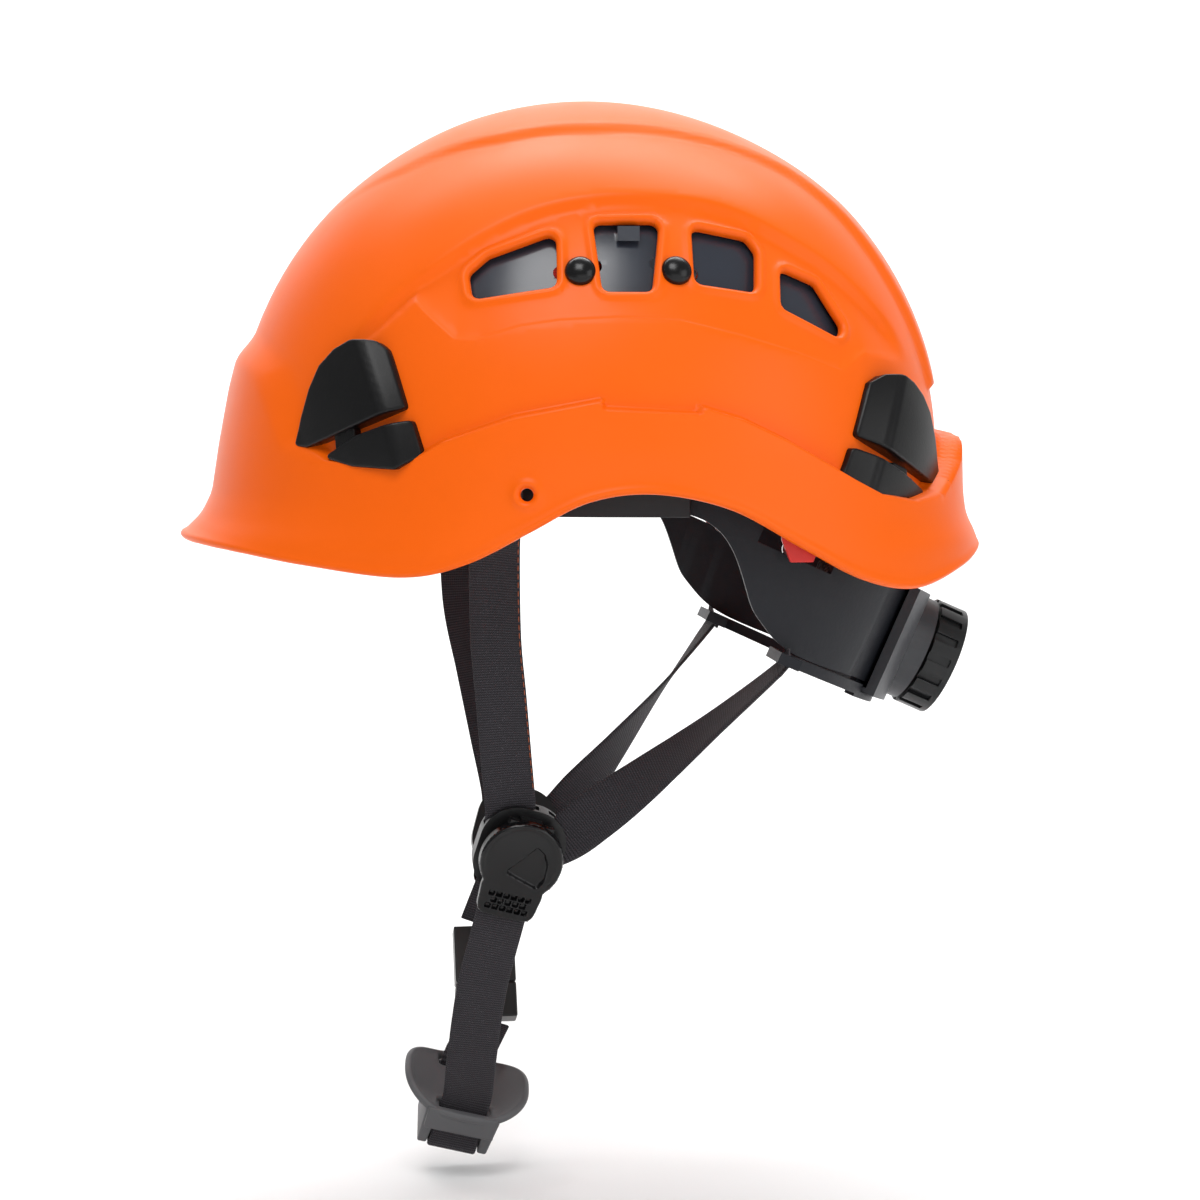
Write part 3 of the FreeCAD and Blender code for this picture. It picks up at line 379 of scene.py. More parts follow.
def vertex_normals(points, triangles):
    """Area-weighted vertex normals."""
    a, b, c = (points[triangles[:, k]] for k in range(3))
    face = np.cross(b - a, c - a)
    normals = np.zeros_like(points)
    for k in range(3):
        np.add.at(normals, triangles[:, k], face)
    return normals / np.maximum(np.linalg.norm(normals, axis=1), 1e-12)[:, None]


def step_in(line, closed, inward, place, distance):
    """Move a line of domain points a real distance into the domain."""
    small = 1e-4 * max(1.0, float(np.abs(line).max()))
    along = np.roll(line, -1, 0) - np.roll(line, 1, 0) if closed else np.gradient(line, axis=0)
    du = (place(line + [small, 0]) - place(line - [small, 0])) / (2 * small)
    dv = (place(line + [0, small]) - place(line - [0, small])) / (2 * small)
    tangent = du * along[:, :1] + dv * along[:, 1:]
    side = np.column_stack([-along[:, 1], along[:, 0]]) * inward
    across = du * side[:, :1] + dv * side[:, 1:]
    tangent /= np.linalg.norm(tangent, axis=1)[:, None]
    across -= tangent * np.sum(across * tangent, axis=1)[:, None]
    across /= np.linalg.norm(across, axis=1)[:, None]
    jacobian = np.stack([du, dv], axis=2)
    move = np.einsum("nij,nj->ni", np.linalg.pinv(jacobian), across)
    return line + move * distance


def triangulate(boundary, edges, place, spacing, rows, extra=()):
    """Cover a flat domain with triangles that follow its edges.

    edges holds (line, closed, inward) triples; rows are the distances of the extra lines beside each edge.
    Returns the domain points, the triangles, each point's distance from its edge, and the edge indices.
    """
    blocks, depths, first_rows = [], [], []
    count = 0
    for line, closed, inward in edges:
        for depth in rows:
            row = line if depth == 0 else step_in(line, closed, inward, place, depth)
            if depth == 0:
                first_rows.append((np.arange(count, count + len(row)), closed))
            blocks.append(row)
            depths.append(np.full(len(row), depth))
            count += len(row)
    near = np.vstack(blocks + [np.asarray(e) for e in extra])
    low, high = boundary.min(0), boundary.max(0)
    across = np.arange(low[1] + spacing * 0.45, high[1], spacing * 0.866)
    lattice = []
    for k, v in enumerate(across):
        row = np.arange(low[0] + spacing * 0.5 * (k % 2), high[0], spacing)
        lattice.append(np.column_stack([row, np.full(len(row), v)]))
    lattice = np.vstack(lattice)
    keep = inside(lattice, boundary)
    for line, closed, _ in edges:
        if closed and line is not boundary:
            keep &= ~inside(lattice, line)
    lattice = lattice[keep]
    cells = {}
    for point in near:
        cells.setdefault((int(point[0] // spacing), int(point[1] // spacing)), []).append(point)
    free = []
    for point in lattice:
        i, j = int(point[0] // spacing), int(point[1] // spacing)
        close = [q for di in (-1, 0, 1) for dj in (-1, 0, 1) for q in cells.get((i + di, j + dj), ())]
        if not close or np.min(np.linalg.norm(np.array(close) - point, axis=1)) > spacing * 0.62:
            free.append(point)
    for points in extra:
        blocks.append(np.asarray(points))
        depths.append(np.full(len(points), 99.0))
    if free:
        blocks.append(np.array(free))
        depths.append(np.full(len(free), 99.0))
    domain = np.vstack(blocks)
    depth = np.concatenate(depths)
    fixed = []
    for indices, closed in first_rows:
        ends = np.roll(indices, -1) if closed else indices[1:]
        fixed += [(int(a), int(b)) for a, b in zip(indices, ends)]
    found = delaunay_2d_cdt([Vector(p) for p in domain], fixed, [], 0, 1e-9)
    uv = np.array([tuple(v) for v in found[0]])
    source = np.array([orig[0] if orig else -1 for orig in found[3]])
    target = {}
    for new_index, origs in enumerate(found[3]):
        for old_index in origs:
            target[old_index] = new_index
    triangles = np.array([f for f in found[2] if len(f) == 3])
    middle = uv[triangles].mean(1)
    keep = inside(middle, boundary)
    for line, closed, _ in edges:
        if closed and line is not boundary:
            keep &= ~inside(middle, line)
    triangles = triangles[keep]
    depth = np.where(source >= 0, depth[source], 99.0)
    loops = [(np.array([target[i] for i in indices]), closed) for indices, closed in first_rows]
    return uv, triangles, depth, loops


def moulded(name, surface, triangles, depth, loops, wall, edge_round, lift=None, seam=None, inner=None):
    """Give a triangulated surface a wall with rounded edges, and mirror it across Y if it has a seam.

    inner, where given, is the far face of the wall point by point."""
    points = surface.copy()
    normals = vertex_normals(points, triangles)
    if seam is not None:
        normals[seam, 1] = 0
        normals /= np.linalg.norm(normals, axis=1)[:, None]
    reach = np.clip(edge_round - depth, 0, edge_round)
    drop = edge_round - np.sqrt(np.maximum(edge_round ** 2 - reach ** 2, 0))
    raised = lift if lift is not None else 0.0
    outer = points + normals * (raised - drop)[:, None]
    if inner is None:
        inner = points - normals * (wall - drop)[:, None]
    count = len(points)
    faces = [tuple(t) for t in triangles] + [tuple(t[::-1] + count) for t in triangles]
    for indices, closed in loops:
        ends = np.roll(indices, -1) if closed else indices[1:]
        faces += [(a, b, b + count, a + count) for a, b in zip(indices, ends)]
    everything = np.vstack([outer, inner])
    if seam is None:
        return new_mesh(name, everything, faces)
    both = np.concatenate([seam, seam])
    mirror = np.where(both, np.arange(2 * count), np.arange(2 * count) + 2 * count)
    flipped = everything * [1, -1, 1]
    faces += [tuple(int(mirror[i]) for i in face[::-1]) for face in faces]
    obj = new_mesh(name, np.vstack([everything, flipped]), faces)
    loose = bmesh.new()
    loose.from_mesh(obj.data)
    bmesh.ops.delete(loose, geom=[v for v in loose.verts if not v.link_faces], context="VERTS")
    loose.to_mesh(obj.data)
    loose.free()
    obj.data.shade_smooth()
    return obj


# ---------------------------------------------------------------- shell
CENTRE = joint_place("left_shutter_slide")
DOME_RADIUS = 128.0
DOME_HALF_WIDTH = 108.0
WALL = 3.0
# Skirt sections: height, front, rear, half width.
SKIRT = np.array([(58, -130, 119, 105), (40, -134.8, 127, 109), (20, -138.6, 133, 111.5),
                  (2, -141.4, 133.5, 112.2), (-6, -145.5, 134.6, 112.5), (-11, -151, 137, 112.5),
                  (-14, -153, 138.8, 112.5), (-34, -153, 139.8, 112.5)], float)[::-1]
RIM = [(-170, -12), (-140, -15), (-111, -19), (-79, -22), (-58, -17.3), (-37, -6.5), (-17, 3.5),
       (5, 6), (31, 0.6), (56, -12.4), (80, -24.6), (102, -29.2), (124, -23.8), (139, -18.5),
       (160, -17)]
LEDGE = [(-170, 57), (-131, 56), (-120, 46), (-112, 24), (-101, 17), (-85, 16), (-74, 18), (-64, 24),
         (-41.5, 32), (-12, 37.6), (-12, 34.7), (20.5, 33), (20.5, 35.3), (35, 31), (51, 23.6),
         (76, 10), (86, 5), (100, 2), (112, 4), (122, 14), (128, 24), (160, 24)]
VENTS = [
    [(-55.9, 81), (-49, 87), (-25.4, 95.6), (-26.2, 76), (-54.8, 71.8)],
    [(-12.4, 99.2), (11.2, 99.4), (6.4, 74.2), (-10.8, 74.2)],
    [(22.6, 97.6), (43, 93.8), (46, 89.2), (43.9, 74.2), (21.6, 77.2)],
    [(54.6, 83.4), (68.6, 78), (77.4, 62.8), (75.4, 58.2), (53, 69)],
]
VISOR_HOLE = (-37.8, 6.1, 2.15)
RIVETS = [(-18.0, 81.0), (15.2, 81.2)]
# The shallow panel around the vents: its upper arch and the crease it dies into.
ARCH = [(-98, 50), (-93, 59), (-79, 74), (-67, 83), (-50, 94), (-30, 103), (-9, 107), (11.5, 107),
        (33, 104), (54, 95), (76, 82), (95.5, 64), (104, 50)]
CREASE = [(-98, 49), (-72.5, 70.5), (-69, 66.5), (-60, 58), (-52, 58), (-39, 62), (-25.5, 64),
          (-5.5, 65), (15, 64), (36, 59), (57, 53), (73.6, 47), (84, 53.5), (104, 49)]
PANEL_DEPTH = 3.0
CREASE_STEP = 0.55
LEDGE_STEP = 2.0
CREST_RISE = 2.2
TOP_DROP = 2.4
VENT_LIP = 0.9
RIM_LIP = 0.8
VENT_CLEAR = 5.2
SHELL_SPACING = 2.5
SHELL_ROWS = (0, 0.12, 0.35, 0.7, 1.1, 1.7, 2.4, 3.3, 4.4)
CREST = np.array([(-100, 12), (-74, 31), (-40, 42), (-8, 45), (30, 41), (64, 33), (100, 35), (122, 30)])


def dome_reach(direction):
    scaled = direction / [DOME_RADIUS, DOME_HALF_WIDTH, DOME_RADIUS]
    return 1 / np.linalg.norm(scaled, axis=1)


def skirt_section(z):
    """Centre, half length and half width of the skirt at a height, eased between its sections."""
    values = []
    for column in (1, 2, 3):
        eased = sum(np.interp(z + shift, SKIRT[:, 0], SKIRT[:, column]) for shift in (-2, -1, 0, 1, 2)) / 5
        values.append(eased)
    front, rear, half_width = values
    return (front + rear) / 2, (rear - front) / 2, half_width


def skirt_reach(direction):
    near, far = np.full(len(direction), 50.0), np.full(len(direction), 260.0)
    for _ in range(30):
        middle = (near + far) / 2
        point = CENTRE + direction * middle[:, None]
        centre, half_length, half_width = skirt_section(point[:, 2])
        outside = ((point[:, 0] - centre) / half_length) ** 2 + (point[:, 1] / half_width) ** 2 > 1
        far = np.where(outside, middle, far)
        near = np.where(outside, near, middle)
    return near


def direction_of(uv):
    """Directions from the dome centre; the domain is centred on the +Y side pole, in radians."""
    angle = np.linalg.norm(uv, axis=1)
    scale = np.where(angle > 1e-9, np.sin(angle) / np.maximum(angle, 1e-9), 1.0)
    return np.column_stack([uv[:, 0] * scale, np.cos(angle), uv[:, 1] * scale])


def uv_of(points):
    away = points - CENTRE
    away = away / np.linalg.norm(away, axis=1)[:, None]
    angle = np.arccos(np.clip(away[:, 1], -1, 1))
    flat = np.maximum(np.hypot(away[:, 0], away[:, 2]), 1e-12)
    return np.column_stack([away[:, 0], away[:, 2]]) * (angle / flat)[:, None]


def ledge_side(xz):
    """Signed distance from the ledge line, positive below it."""
    below = np.array(LEDGE + [(160, -90), (-170, -90)], float)
    distance = distance_to(xz, LEDGE)
    return np.where(inside(xz, below), distance, -distance)


def shell_surface(uv):
    """The shell's outer face: dome with its crest and vent panel above the ledge, skirt below it."""
    direction = direction_of(uv)
    dome = dome_reach(direction)
    skirt = skirt_reach(direction)
    middle = CENTRE + direction * ((dome + skirt) / 2)[:, None]
    side_view = middle[:, [0, 2]]
    soft = 0.9 + 5.0 * smoothstep((-100 - side_view[:, 0]) / 14)
    mask = smoothstep((ledge_side(side_view) + soft) / (2 * soft))
    on_dome = CENTRE + direction * dome[:, None]
    x, y, z = on_dome.T
    arch_line = smooth_line(ARCH, 3)
    crest_half = np.interp(x, CREST[:, 0], CREST[:, 1], left=-20, right=-20)
    ends = smoothstep((x + 104) / 60) * smoothstep((128 - x) / 12)
    crest = CREST_RISE * smoothstep((crest_half - np.abs(y) + 2.5) / 5.0) * ends * (z > 40)
    arch = np.interp(x, *arch_line.T)
    crease = np.interp(x, *np.array(CREASE).T)
    fade = np.clip((arch - z) / np.maximum(arch - crease, 1.0), 0, 1)
    below_arch = np.where(z < arch, distance_to(on_dome[:, [0, 2]], arch_line), 0.0)
    recess = (CREASE_STEP + (PANEL_DEPTH - CREASE_STEP) * (1 - fade ** 1.5)) * (y > 0)
    recess *= smoothstep(below_arch / 3.6) * smoothstep((z - crease) / 1.4 + 0.5)
    recess *= smoothstep((x + 98) / 12) * smoothstep((104 - x) / 12)
    flattened = TOP_DROP * smoothstep((z - 98) / 42)
    dome_shape = dome + crest - recess - flattened
    skirt_shape = np.maximum(skirt, dome + LEDGE_STEP)
    return CENTRE + direction * (dome_shape + (skirt_shape - dome_shape) * mask)[:, None]


def side_to_uv(side_view, on_skirt=False):
    """Domain points of places given on the shell's side view."""
    side_view = np.asarray(side_view, float)
    if on_skirt:
        centre, half_length, half_width = skirt_section(side_view[:, 1])
        level = 1 - ((side_view[:, 0] - centre) / half_length) ** 2
        y = half_width * np.sqrt(np.clip(level, 0, 1))
    else:
        off = ((side_view - CENTRE[[0, 2]]) ** 2).sum(1) / DOME_RADIUS ** 2
        y = DOME_HALF_WIDTH * np.sqrt(np.clip(1 - off, 0, 1))
    return uv_of(np.column_stack([side_view[:, 0], y, side_view[:, 1]]))


def step_to_uv(side_view):
    """Domain points of places on the side view, midway between the dome and the skirt."""
    away = np.asarray(side_view, float) - CENTRE[[0, 2]]
    flat = (away ** 2).sum(1)
    y = np.full(len(away), 40.0)
    for _ in range(40):
        direction = np.column_stack([away[:, 0], y, away[:, 1]])
        direction /= np.linalg.norm(direction, axis=1)[:, None]
        reach = (dome_reach(direction) + skirt_reach(direction)) / 2
        y = 0.5 * y + 0.5 * np.sqrt(np.maximum(reach ** 2 - flat, 0))
    return uv_of(CENTRE + np.column_stack([away[:, 0], y, away[:, 1]]))[y > 2.0]


def shell_rim():
    """The lower edge from the middle of the front to the middle of the rear, in the domain."""
    line = smooth_line(RIM, 0.5)
    centre, half_length, _ = skirt_section(line[:, 1])
    line = line[np.abs(line[:, 0] - centre) < half_length * 0.9999]
    uv = side_to_uv(line, on_skirt=True)
    first, last = (uv_of(np.array([[x, 0.0, z]])) for x, z in (line[0], line[-1]))
    uv = np.vstack([first, uv, last])
    place = CENTRE + direction_of(uv) * 140
    lengths = np.concatenate([[0], np.cumsum(np.linalg.norm(np.diff(place, axis=0), axis=1))])
    at = np.linspace(0, lengths[-1], int(lengths[-1] / 1.9))
    return np.column_stack([np.interp(at, lengths, uv[:, k]) for k in (0, 1)])


def make_shell():
    rim = shell_rim()
    front = math.atan2(rim[0, 1], rim[0, 0]) % (2 * math.pi)
    rear = math.atan2(rim[-1, 1], rim[-1, 0])
    turns = np.linspace(rear, front, 190)[1:-1]
    seam_line = np.column_stack([np.cos(turns), np.sin(turns)]) * (math.pi / 2)
    boundary = np.vstack([rim, seam_line])
    edges = [(rim, False, 1)]
    for corners in VENTS:
        loop = side_to_uv(rounded_loop(corners, 2.6, 1.3))
        edges.append((loop, True, outward_sense(loop)))
    turn = np.linspace(0, 2 * math.pi, 20, endpoint=False)
    x, z, radius = VISOR_HOLE
    ring = np.column_stack([x + radius * np.cos(turn), z + radius * np.sin(turn)])
    visor_hole = side_to_uv(ring, on_skirt=True)
    edges.append((visor_hole, True, outward_sense(visor_hole)))
    spacing = SHELL_SPACING / DOME_RADIUS
    uv, triangles, depth, loops = triangulate(boundary, edges, shell_surface, spacing, SHELL_ROWS,
                                              [seam_line] + feature_rows())
    triangles = triangles[:, ::-1]
    surface = shell_surface(uv)
    seam = np.abs(np.linalg.norm(uv, axis=1) - math.pi / 2) < 1e-4
    surface[seam, 1] = 0
    lip = VENT_LIP * np.exp(-((depth - 1.9) / 1.2) ** 2)
    rim_points = surface[loops[0][0]]
    near_rim = distance_near(surface, rim_points, 6.0)
    lip = np.where(near_rim < 5.5, RIM_LIP * np.exp(-((near_rim - 1.6) / 1.3) ** 2), lip)
    shell = moulded("shell_look", surface, triangles, depth, loops, WALL, 1.1, lip, seam)
    finish_piece(shell, "helmet", "shell_plastic", ("outer_shell",))


def feature_rows():
    """Rows of domain points along the ledge, the panel's arch and its crease, to keep them crisp."""
    ledge = smooth_ledge()
    rows = []
    for offset in (-1.5, -0.9, -0.3, 0.3, 0.9, 1.5):
        moved = step_to_uv(offset_line(ledge, offset))
        rows.append(moved[np.linalg.norm(moved, axis=1) < math.pi / 2 - 0.008])
    arch = smooth_line(ARCH, 1.5)
    for offset in (0.3, -0.6, -1.5, -2.4, -3.3, -4.2):
        moved = offset_line(arch, offset)
        rows.append(side_to_uv(moved[(moved[:, 1] > 56) & (distance_to_vents(moved) > VENT_CLEAR)]))
    crease = smooth_line(CREASE[1:-1], 1.5)
    for offset in (-0.8, -0.3, 0.3, 0.8):
        moved = offset_line(crease, offset)
        rows.append(side_to_uv(moved[distance_to_vents(moved) > VENT_CLEAR]))
    return rows


def distance_to_vents(side_view):
    return np.min([distance_to(side_view, corners, True) for corners in VENTS], axis=0)


def outward_sense(line):
    """+1 if what is outside a closed line lies to the left of it, -1 if to the right."""
    a, b = line, np.roll(line, -1, 0)
    area = np.sum(a[:, 0] * b[:, 1] - b[:, 0] * a[:, 1])
    return -1 if area > 0 else 1


def smooth_ledge():
    line = []
    for a, b in zip(LEDGE, LEDGE[1:]):
        a, b = np.array(a, float), np.array(b, float)
        steps = max(1, int(np.linalg.norm(b - a) / 1.3))
        line += [a + (b - a) * k / steps for k in range(steps)]
    return np.array([p for p in line if -150 < p[0] < 135])


def offset_line(line, distance):
    along = np.gradient(line, axis=0)
    along /= np.maximum(np.linalg.norm(along, axis=1), 1e-9)[:, None]
    return line + np.column_stack([-along[:, 1], along[:, 0]]) * distance


def distance_near(points, line, limit):
    """Distance to a line of points in space, computed only where it is below a limit."""
    result = np.full(len(points), 99.0)
    for a, b in zip(line, line[1:]):
        run = b - a
        close = np.flatnonzero(np.abs(points - a).max(1) < limit + 3)
        if not len(close):
            continue
        near = points[close]
        t = np.clip(((near - a) @ run) / max(run @ run, 1e-9), 0, 1)
        d = np.linalg.norm(near - a - t[:, None] * run, axis=1)
        result[close] = np.minimum(result[close], d)
    return result


make_shell()

# ---------------------------------------------------------------- headlamp clips
# Each jaw: outline on the side view, then its outer edge from which the narrow facet rises.
CLIP_HEIGHT = 7.0
FACET_FOOT = 2.0
FACE_FALL = 3.2
RIDGE_BLUNT = 0.6
BRIDGE_HEIGHT = 3.4
# How far the facet runs in from its edge.
FACET = {"front": 5.9, "rear": 8.8}
CLIPS = {
    "front": [([(-116.2, 21), (-113.8, 31), (-110.5, 41), (-106.5, 49), (-101, 54.5), (-95.3, 57.5),
                (-88, 58.4), (-85.2, 56), (-79.4, 35.4), (-112, 20.6)], ((-85.3, 56), (-79.4, 35.4))),
              ([(-106.4, 17.4), (-96, 14.6), (-81.1, 13.9), (-73.8, 18.8), (-77.5, 31.5), (-94.4, 25.4)],
               ((-77.5, 31.5), (-73.8, 18.8)))],
    "rear": [([(81.8, 24.8), (86.6, 22), (119, 4.1), (120.9, 8.2), (117, 22.2), (113.2, 32), (109, 38),
               (104, 42.4), (98.5, 45.4), (93, 46.2), (88.2, 43.8)], ((88.2, 43.6), (82, 24.6))),
             ([(75.4, 9), (80, 5.2), (85, 2.8), (96, 1.6), (109, 1.5), (111.6, 3.2), (99.9, 10.6),
               (80, 21)], ((79.6, 20.6), (75.6, 9)))],
}
CLIP_BRIDGES = {"front": [(-103, 27), (-96.5, 29.5), (-95.5, 18), (-102, 16)],
                "rear": [(96, 15), (103, 12), (103.5, 3), (97, 6)]}


def ray_uv(side_view, grow):
    """Domain points under places seen from the side on the dome grown outwards."""
    side_view = np.asarray(side_view, float)
    off = ((side_view - CENTRE[[0, 2]]) ** 2).sum(1) / (DOME_RADIUS + grow) ** 2
    y = (DOME_HALF_WIDTH + grow) * np.sqrt(np.clip(1 - off, 0, 1))
    return uv_of(np.column_stack([side_view[:, 0], y, side_view[:, 1]]))


def jaw_mesh(name, corners, height, radius, edge_round):
    """A block standing on the shell over an outline seen from the side; height takes side-view places."""
    loop = ray_uv(rounded_loop(corners, radius, 0.9), CLIP_HEIGHT)

    def top(uv):
        direction = direction_of(uv)
        dome = dome_reach(direction)
        grown = CENTRE + direction * (dome + CLIP_HEIGHT)[:, None]
        return CENTRE + direction * (dome + height(grown[:, [0, 2]]))[:, None]

    edges = [(loop, True, -outward_sense(loop))]
    uv, triangles, depth, loops = triangulate(loop, edges, top, 0.95 / DOME_RADIUS,
                                              (0, 0.1, 0.3, 0.6, 0.95, 1.4))
    triangles = triangles[:, ::-1]
    foot = shell_surface(uv) - direction_of(uv) * 1.0
    return moulded(name, top(uv), triangles, depth, loops, 0, edge_round, inner=foot)


def join_pieces(name, parts):
    """One object from several mesh objects."""
    joined = bmesh.new()
    for part in parts:
        joined.from_mesh(part.data)
    mesh = bpy.data.meshes.new(name)
    joined.to_mesh(mesh)
    joined.free()
    mesh.shade_smooth()
    for part in parts:
        bpy.data.objects.remove(part)
    obj = bpy.data.objects.new(name, mesh)
    bpy.context.scene.collection.objects.link(obj)
    return obj


def reflect(obj):
    """The same piece on the wearer's other side."""
    mesh = obj.data.copy()
    mesh.transform(Matrix.Diagonal((1, -1, 1, 1)))
    mesh.flip_normals()
    twin = bpy.data.objects.new(obj.name + "_twin", mesh)
    bpy.context.scene.collection.objects.link(twin)
    return twin


def jaw_height(start, normal, facet):
    """The jaw's face over side-view places: a facet rising from its edge to a ridge, then a slow fall."""
    def height(side_view):
        off = (side_view - start) @ normal
        rise = FACET_FOOT + (CLIP_HEIGHT - FACET_FOOT) * np.clip(off / facet, 0, 1)
        fall = np.clip((off - facet) / 30, 0, 1)
        return rise - FACE_FALL * fall - RIDGE_BLUNT * np.exp(-((off - facet) / 1.0) ** 2)
    return height


def bridge_height(side_view):
    return np.full(len(side_view), BRIDGE_HEIGHT)


def make_clips():
    for end, jaws in CLIPS.items():
        parts = []
        for corners, facet_edge in jaws:
            start, finish = (np.array(p, float) for p in facet_edge)
            along = (finish - start) / np.linalg.norm(finish - start)
            middle = np.mean(corners, axis=0)
            normal = np.array([-along[1], along[0]])
            normal *= np.sign(np.dot(middle - start, normal))
            parts.append(jaw_mesh("jaw", corners, jaw_height(start, normal, FACET[end]), 1.2, 0.8))
        parts.append(jaw_mesh("bridge", CLIP_BRIDGES[end], bridge_height, 0.6, 0.4))
        clip = join_pieces(f"right_{end}_clip_look", parts)
        twin = reflect(clip)
        finish_piece(clip, "helmet", "clip_plastic", (f"{end}_right_clip",))
        finish_piece(twin, "helmet", "clip_plastic", (f"{end}_left_clip",))


make_clips()


# ---------------------------------------------------------------- turned pieces
def lathe(name, profile, origin, axis, steps=64, radius_of=None):
    """A closed solid of revolution; the profile lists (distance along the axis, radius)."""
    axis = np.asarray(axis, float) / np.linalg.norm(axis)
    side = np.cross(axis, [0, 0, 1] if abs(axis[2]) < 0.9 else [1, 0, 0])
    side /= np.linalg.norm(side)
    other = np.cross(axis, side)
    points, faces = [], []
    for along, radius in profile:
        for k in range(steps):
            turn = 2 * math.pi * k / steps
            reach = radius if radius_of is None else radius_of(along, radius, turn)
            points.append(origin + axis * along + (side * math.cos(turn) + other * math.sin(turn)) * reach)
    for ring in range(len(profile) - 1):
        for k in range(steps):
            a, b = ring * steps + k, ring * steps + (k + 1) % steps
            faces.append((a, b, b + steps, a + steps))
    faces.append(tuple(range(steps))[::-1])
    faces.append(tuple(range((len(profile) - 1) * steps, len(profile) * steps)))
    return new_mesh(name, points, faces, 50)


def dome_half_y(x, z, grow=0.0):
    off = ((x - CENTRE[0]) ** 2 + (z - CENTRE[2]) ** 2) / (DOME_RADIUS + grow) ** 2
    return (DOME_HALF_WIDTH + grow) * math.sqrt(max(0.0, 1 - off))


def make_rivets():
    """Domed heads on the shell, stems and washers behind the shutters."""
    for side_name, side in SIDES:
        parts = []
        for x, z in RIVETS:
            seat = shell_surface(ray_uv([(x, z)], 0.0))[0]
            turns = np.linspace(0.05, math.pi / 2, 10)[:-1]
            rise = [(3.2 * math.sin(t) + 0.7, 5.2 * math.cos(t)) for t in turns]
            head = [(-1.2, 4.6), (-0.2, 5.0), (0.3, 5.3)] + rise + [(3.92, 0.2)]
            away = (seat - CENTRE) / np.array([DOME_RADIUS, DOME_HALF_WIDTH, DOME_RADIUS]) ** 2
            parts.append(lathe("rivet", head, seat, away / np.linalg.norm(away), 40))
            tail = dome_half_y(x, z, -8.5) - 4.0
            stem = [(-1.2, 3.6), (-1.0, 4.0), (-0.2, 4.0), (0, 3.8), (0, 2.0), (seat[1] - tail, 2.0)]
            parts.append(lathe("stem", stem, np.array([x, tail, z]), [0, 1, 0], 32))
        rivets = join_pieces(f"{side_name}_rivet_look", parts)
        if side < 0:
            twin = reflect(rivets)
            bpy.data.objects.remove(rivets)
            rivets = twin
        rivets.data.set_sharp_from_angle(angle=math.radians(45))
        finish_piece(rivets, "helmet", "rivet_plastic", (f"{side_name}_vent_rivets",))


make_rivets()

# ---------------------------------------------------------------- webbing
WEB_WIDTH = 18.0
WEB_THICK = 1.2
CROWN_WIDTH = 20.0


def webbing_line(stations, acrosses, gap=2.0):
    """Middle of a strap, with the directions across it and out of its face."""
    joined = np.hstack([np.asarray(stations, float), np.asarray(acrosses, float) * 40])
    line = smooth_line(joined, gap)
    centres, across = line[:, :3], line[:, 3:]
    along = np.gradient(centres, axis=0)
    along /= np.linalg.norm(along, axis=1)[:, None]
    across -= along * np.sum(across * along, axis=1)[:, None]
    across /= np.linalg.norm(across, axis=1)[:, None]
    return centres, across, np.cross(along, across)


def webbing(name, stations, acrosses, width=WEB_WIDTH, thick=WEB_THICK, crease=0.0, gap=2.0):
    """Flat webbing along a smooth curve, with soft selvedges and UVs in metres."""
    centres, across, up = webbing_line(stations, acrosses, gap)
    half, edge = width / 2, thick / 2
    spread = np.concatenate([[-half], np.linspace(-half + edge, half - edge, 9), [half]])
    crown = crease * (1 - np.abs(spread) / half)
    top = np.column_stack([spread, np.where(np.abs(spread) < half, edge, 0) + crown])
    low = np.column_stack([spread[1:-1], -edge + crown[1:-1]])[::-1]
    section = np.vstack([top, low])
    count = len(section)
    points = (centres[:, None] + across[:, None] * section[None, :, :1] + up[:, None] * section[None, :, 1:])
    points = points.reshape(-1, 3)
    lengths = np.concatenate([[0], np.cumsum(np.linalg.norm(np.diff(centres, axis=0), axis=1))])
    faces, uvs = [], []
    for i in range(len(centres) - 1):
        for k in range(count):
            n = (k + 1) % count
            faces.append((i * count + k, i * count + n, (i + 1) * count + n, (i + 1) * count + k))
            uvs += [(lengths[i], section[k, 0]), (lengths[i], section[n, 0]),
                    (lengths[i + 1], section[n, 0]), (lengths[i + 1], section[k, 0])]
    for start in (0, (len(centres) - 1) * count):
        faces.append(tuple(range(start, start + count)))
        uvs += [(lengths[start // count], v) for v in section[:, 0]]
    mesh = bpy.data.meshes.new(name)
    mesh.from_pydata([tuple(p) for p in points * MM], [], faces)
    layer = mesh.uv_layers.new(name="Weave")
    layer.data.foreach_set("uv", (np.array(uvs) * MM).ravel())
    tidy = bmesh.new()
    tidy.from_mesh(mesh)
    bmesh.ops.recalc_face_normals(tidy, faces=tidy.faces)
    tidy.to_mesh(mesh)
    tidy.free()
    mesh.shade_smooth()
    mesh.set_sharp_from_angle(angle=math.radians(60))
    obj = bpy.data.objects.new(name, mesh)
    bpy.context.scene.collection.objects.link(obj)
    return obj


def turn_about(axis, degrees):
    return np.array(Matrix.Rotation(math.radians(degrees), 3, axis))


DIVIDER_TURN = turn_about("X", -15) @ turn_about("Y", 16)
HINGE = np.array([0, 0.5, 12.2])
CUP_TURN = turn_about("Y", 14) @ turn_about("X", 18)
CUP_BASE = np.array([-51.5, 0, -222])
BUCKLE_TURN = turn_about("X", -27.4)
BUCKLE_BASE = np.array([-40, 33, -188])
NAPE_TURN = turn_about("Y", 24)
NAPE_BASE = joint_place("left_wing_slide")
FLIP = np.array([1, -1, 1])


def divider_point(side, x, y, z):
    """A place in a divider's own frame, drawn on the +Y side whichever side it is for."""
    hinge = joint_place("right_lever_flip" if side > 0 else "left_lever_flip") * [1, side, 1]
    return hinge + DIVIDER_TURN @ (np.array([x, y, z]) - HINGE)


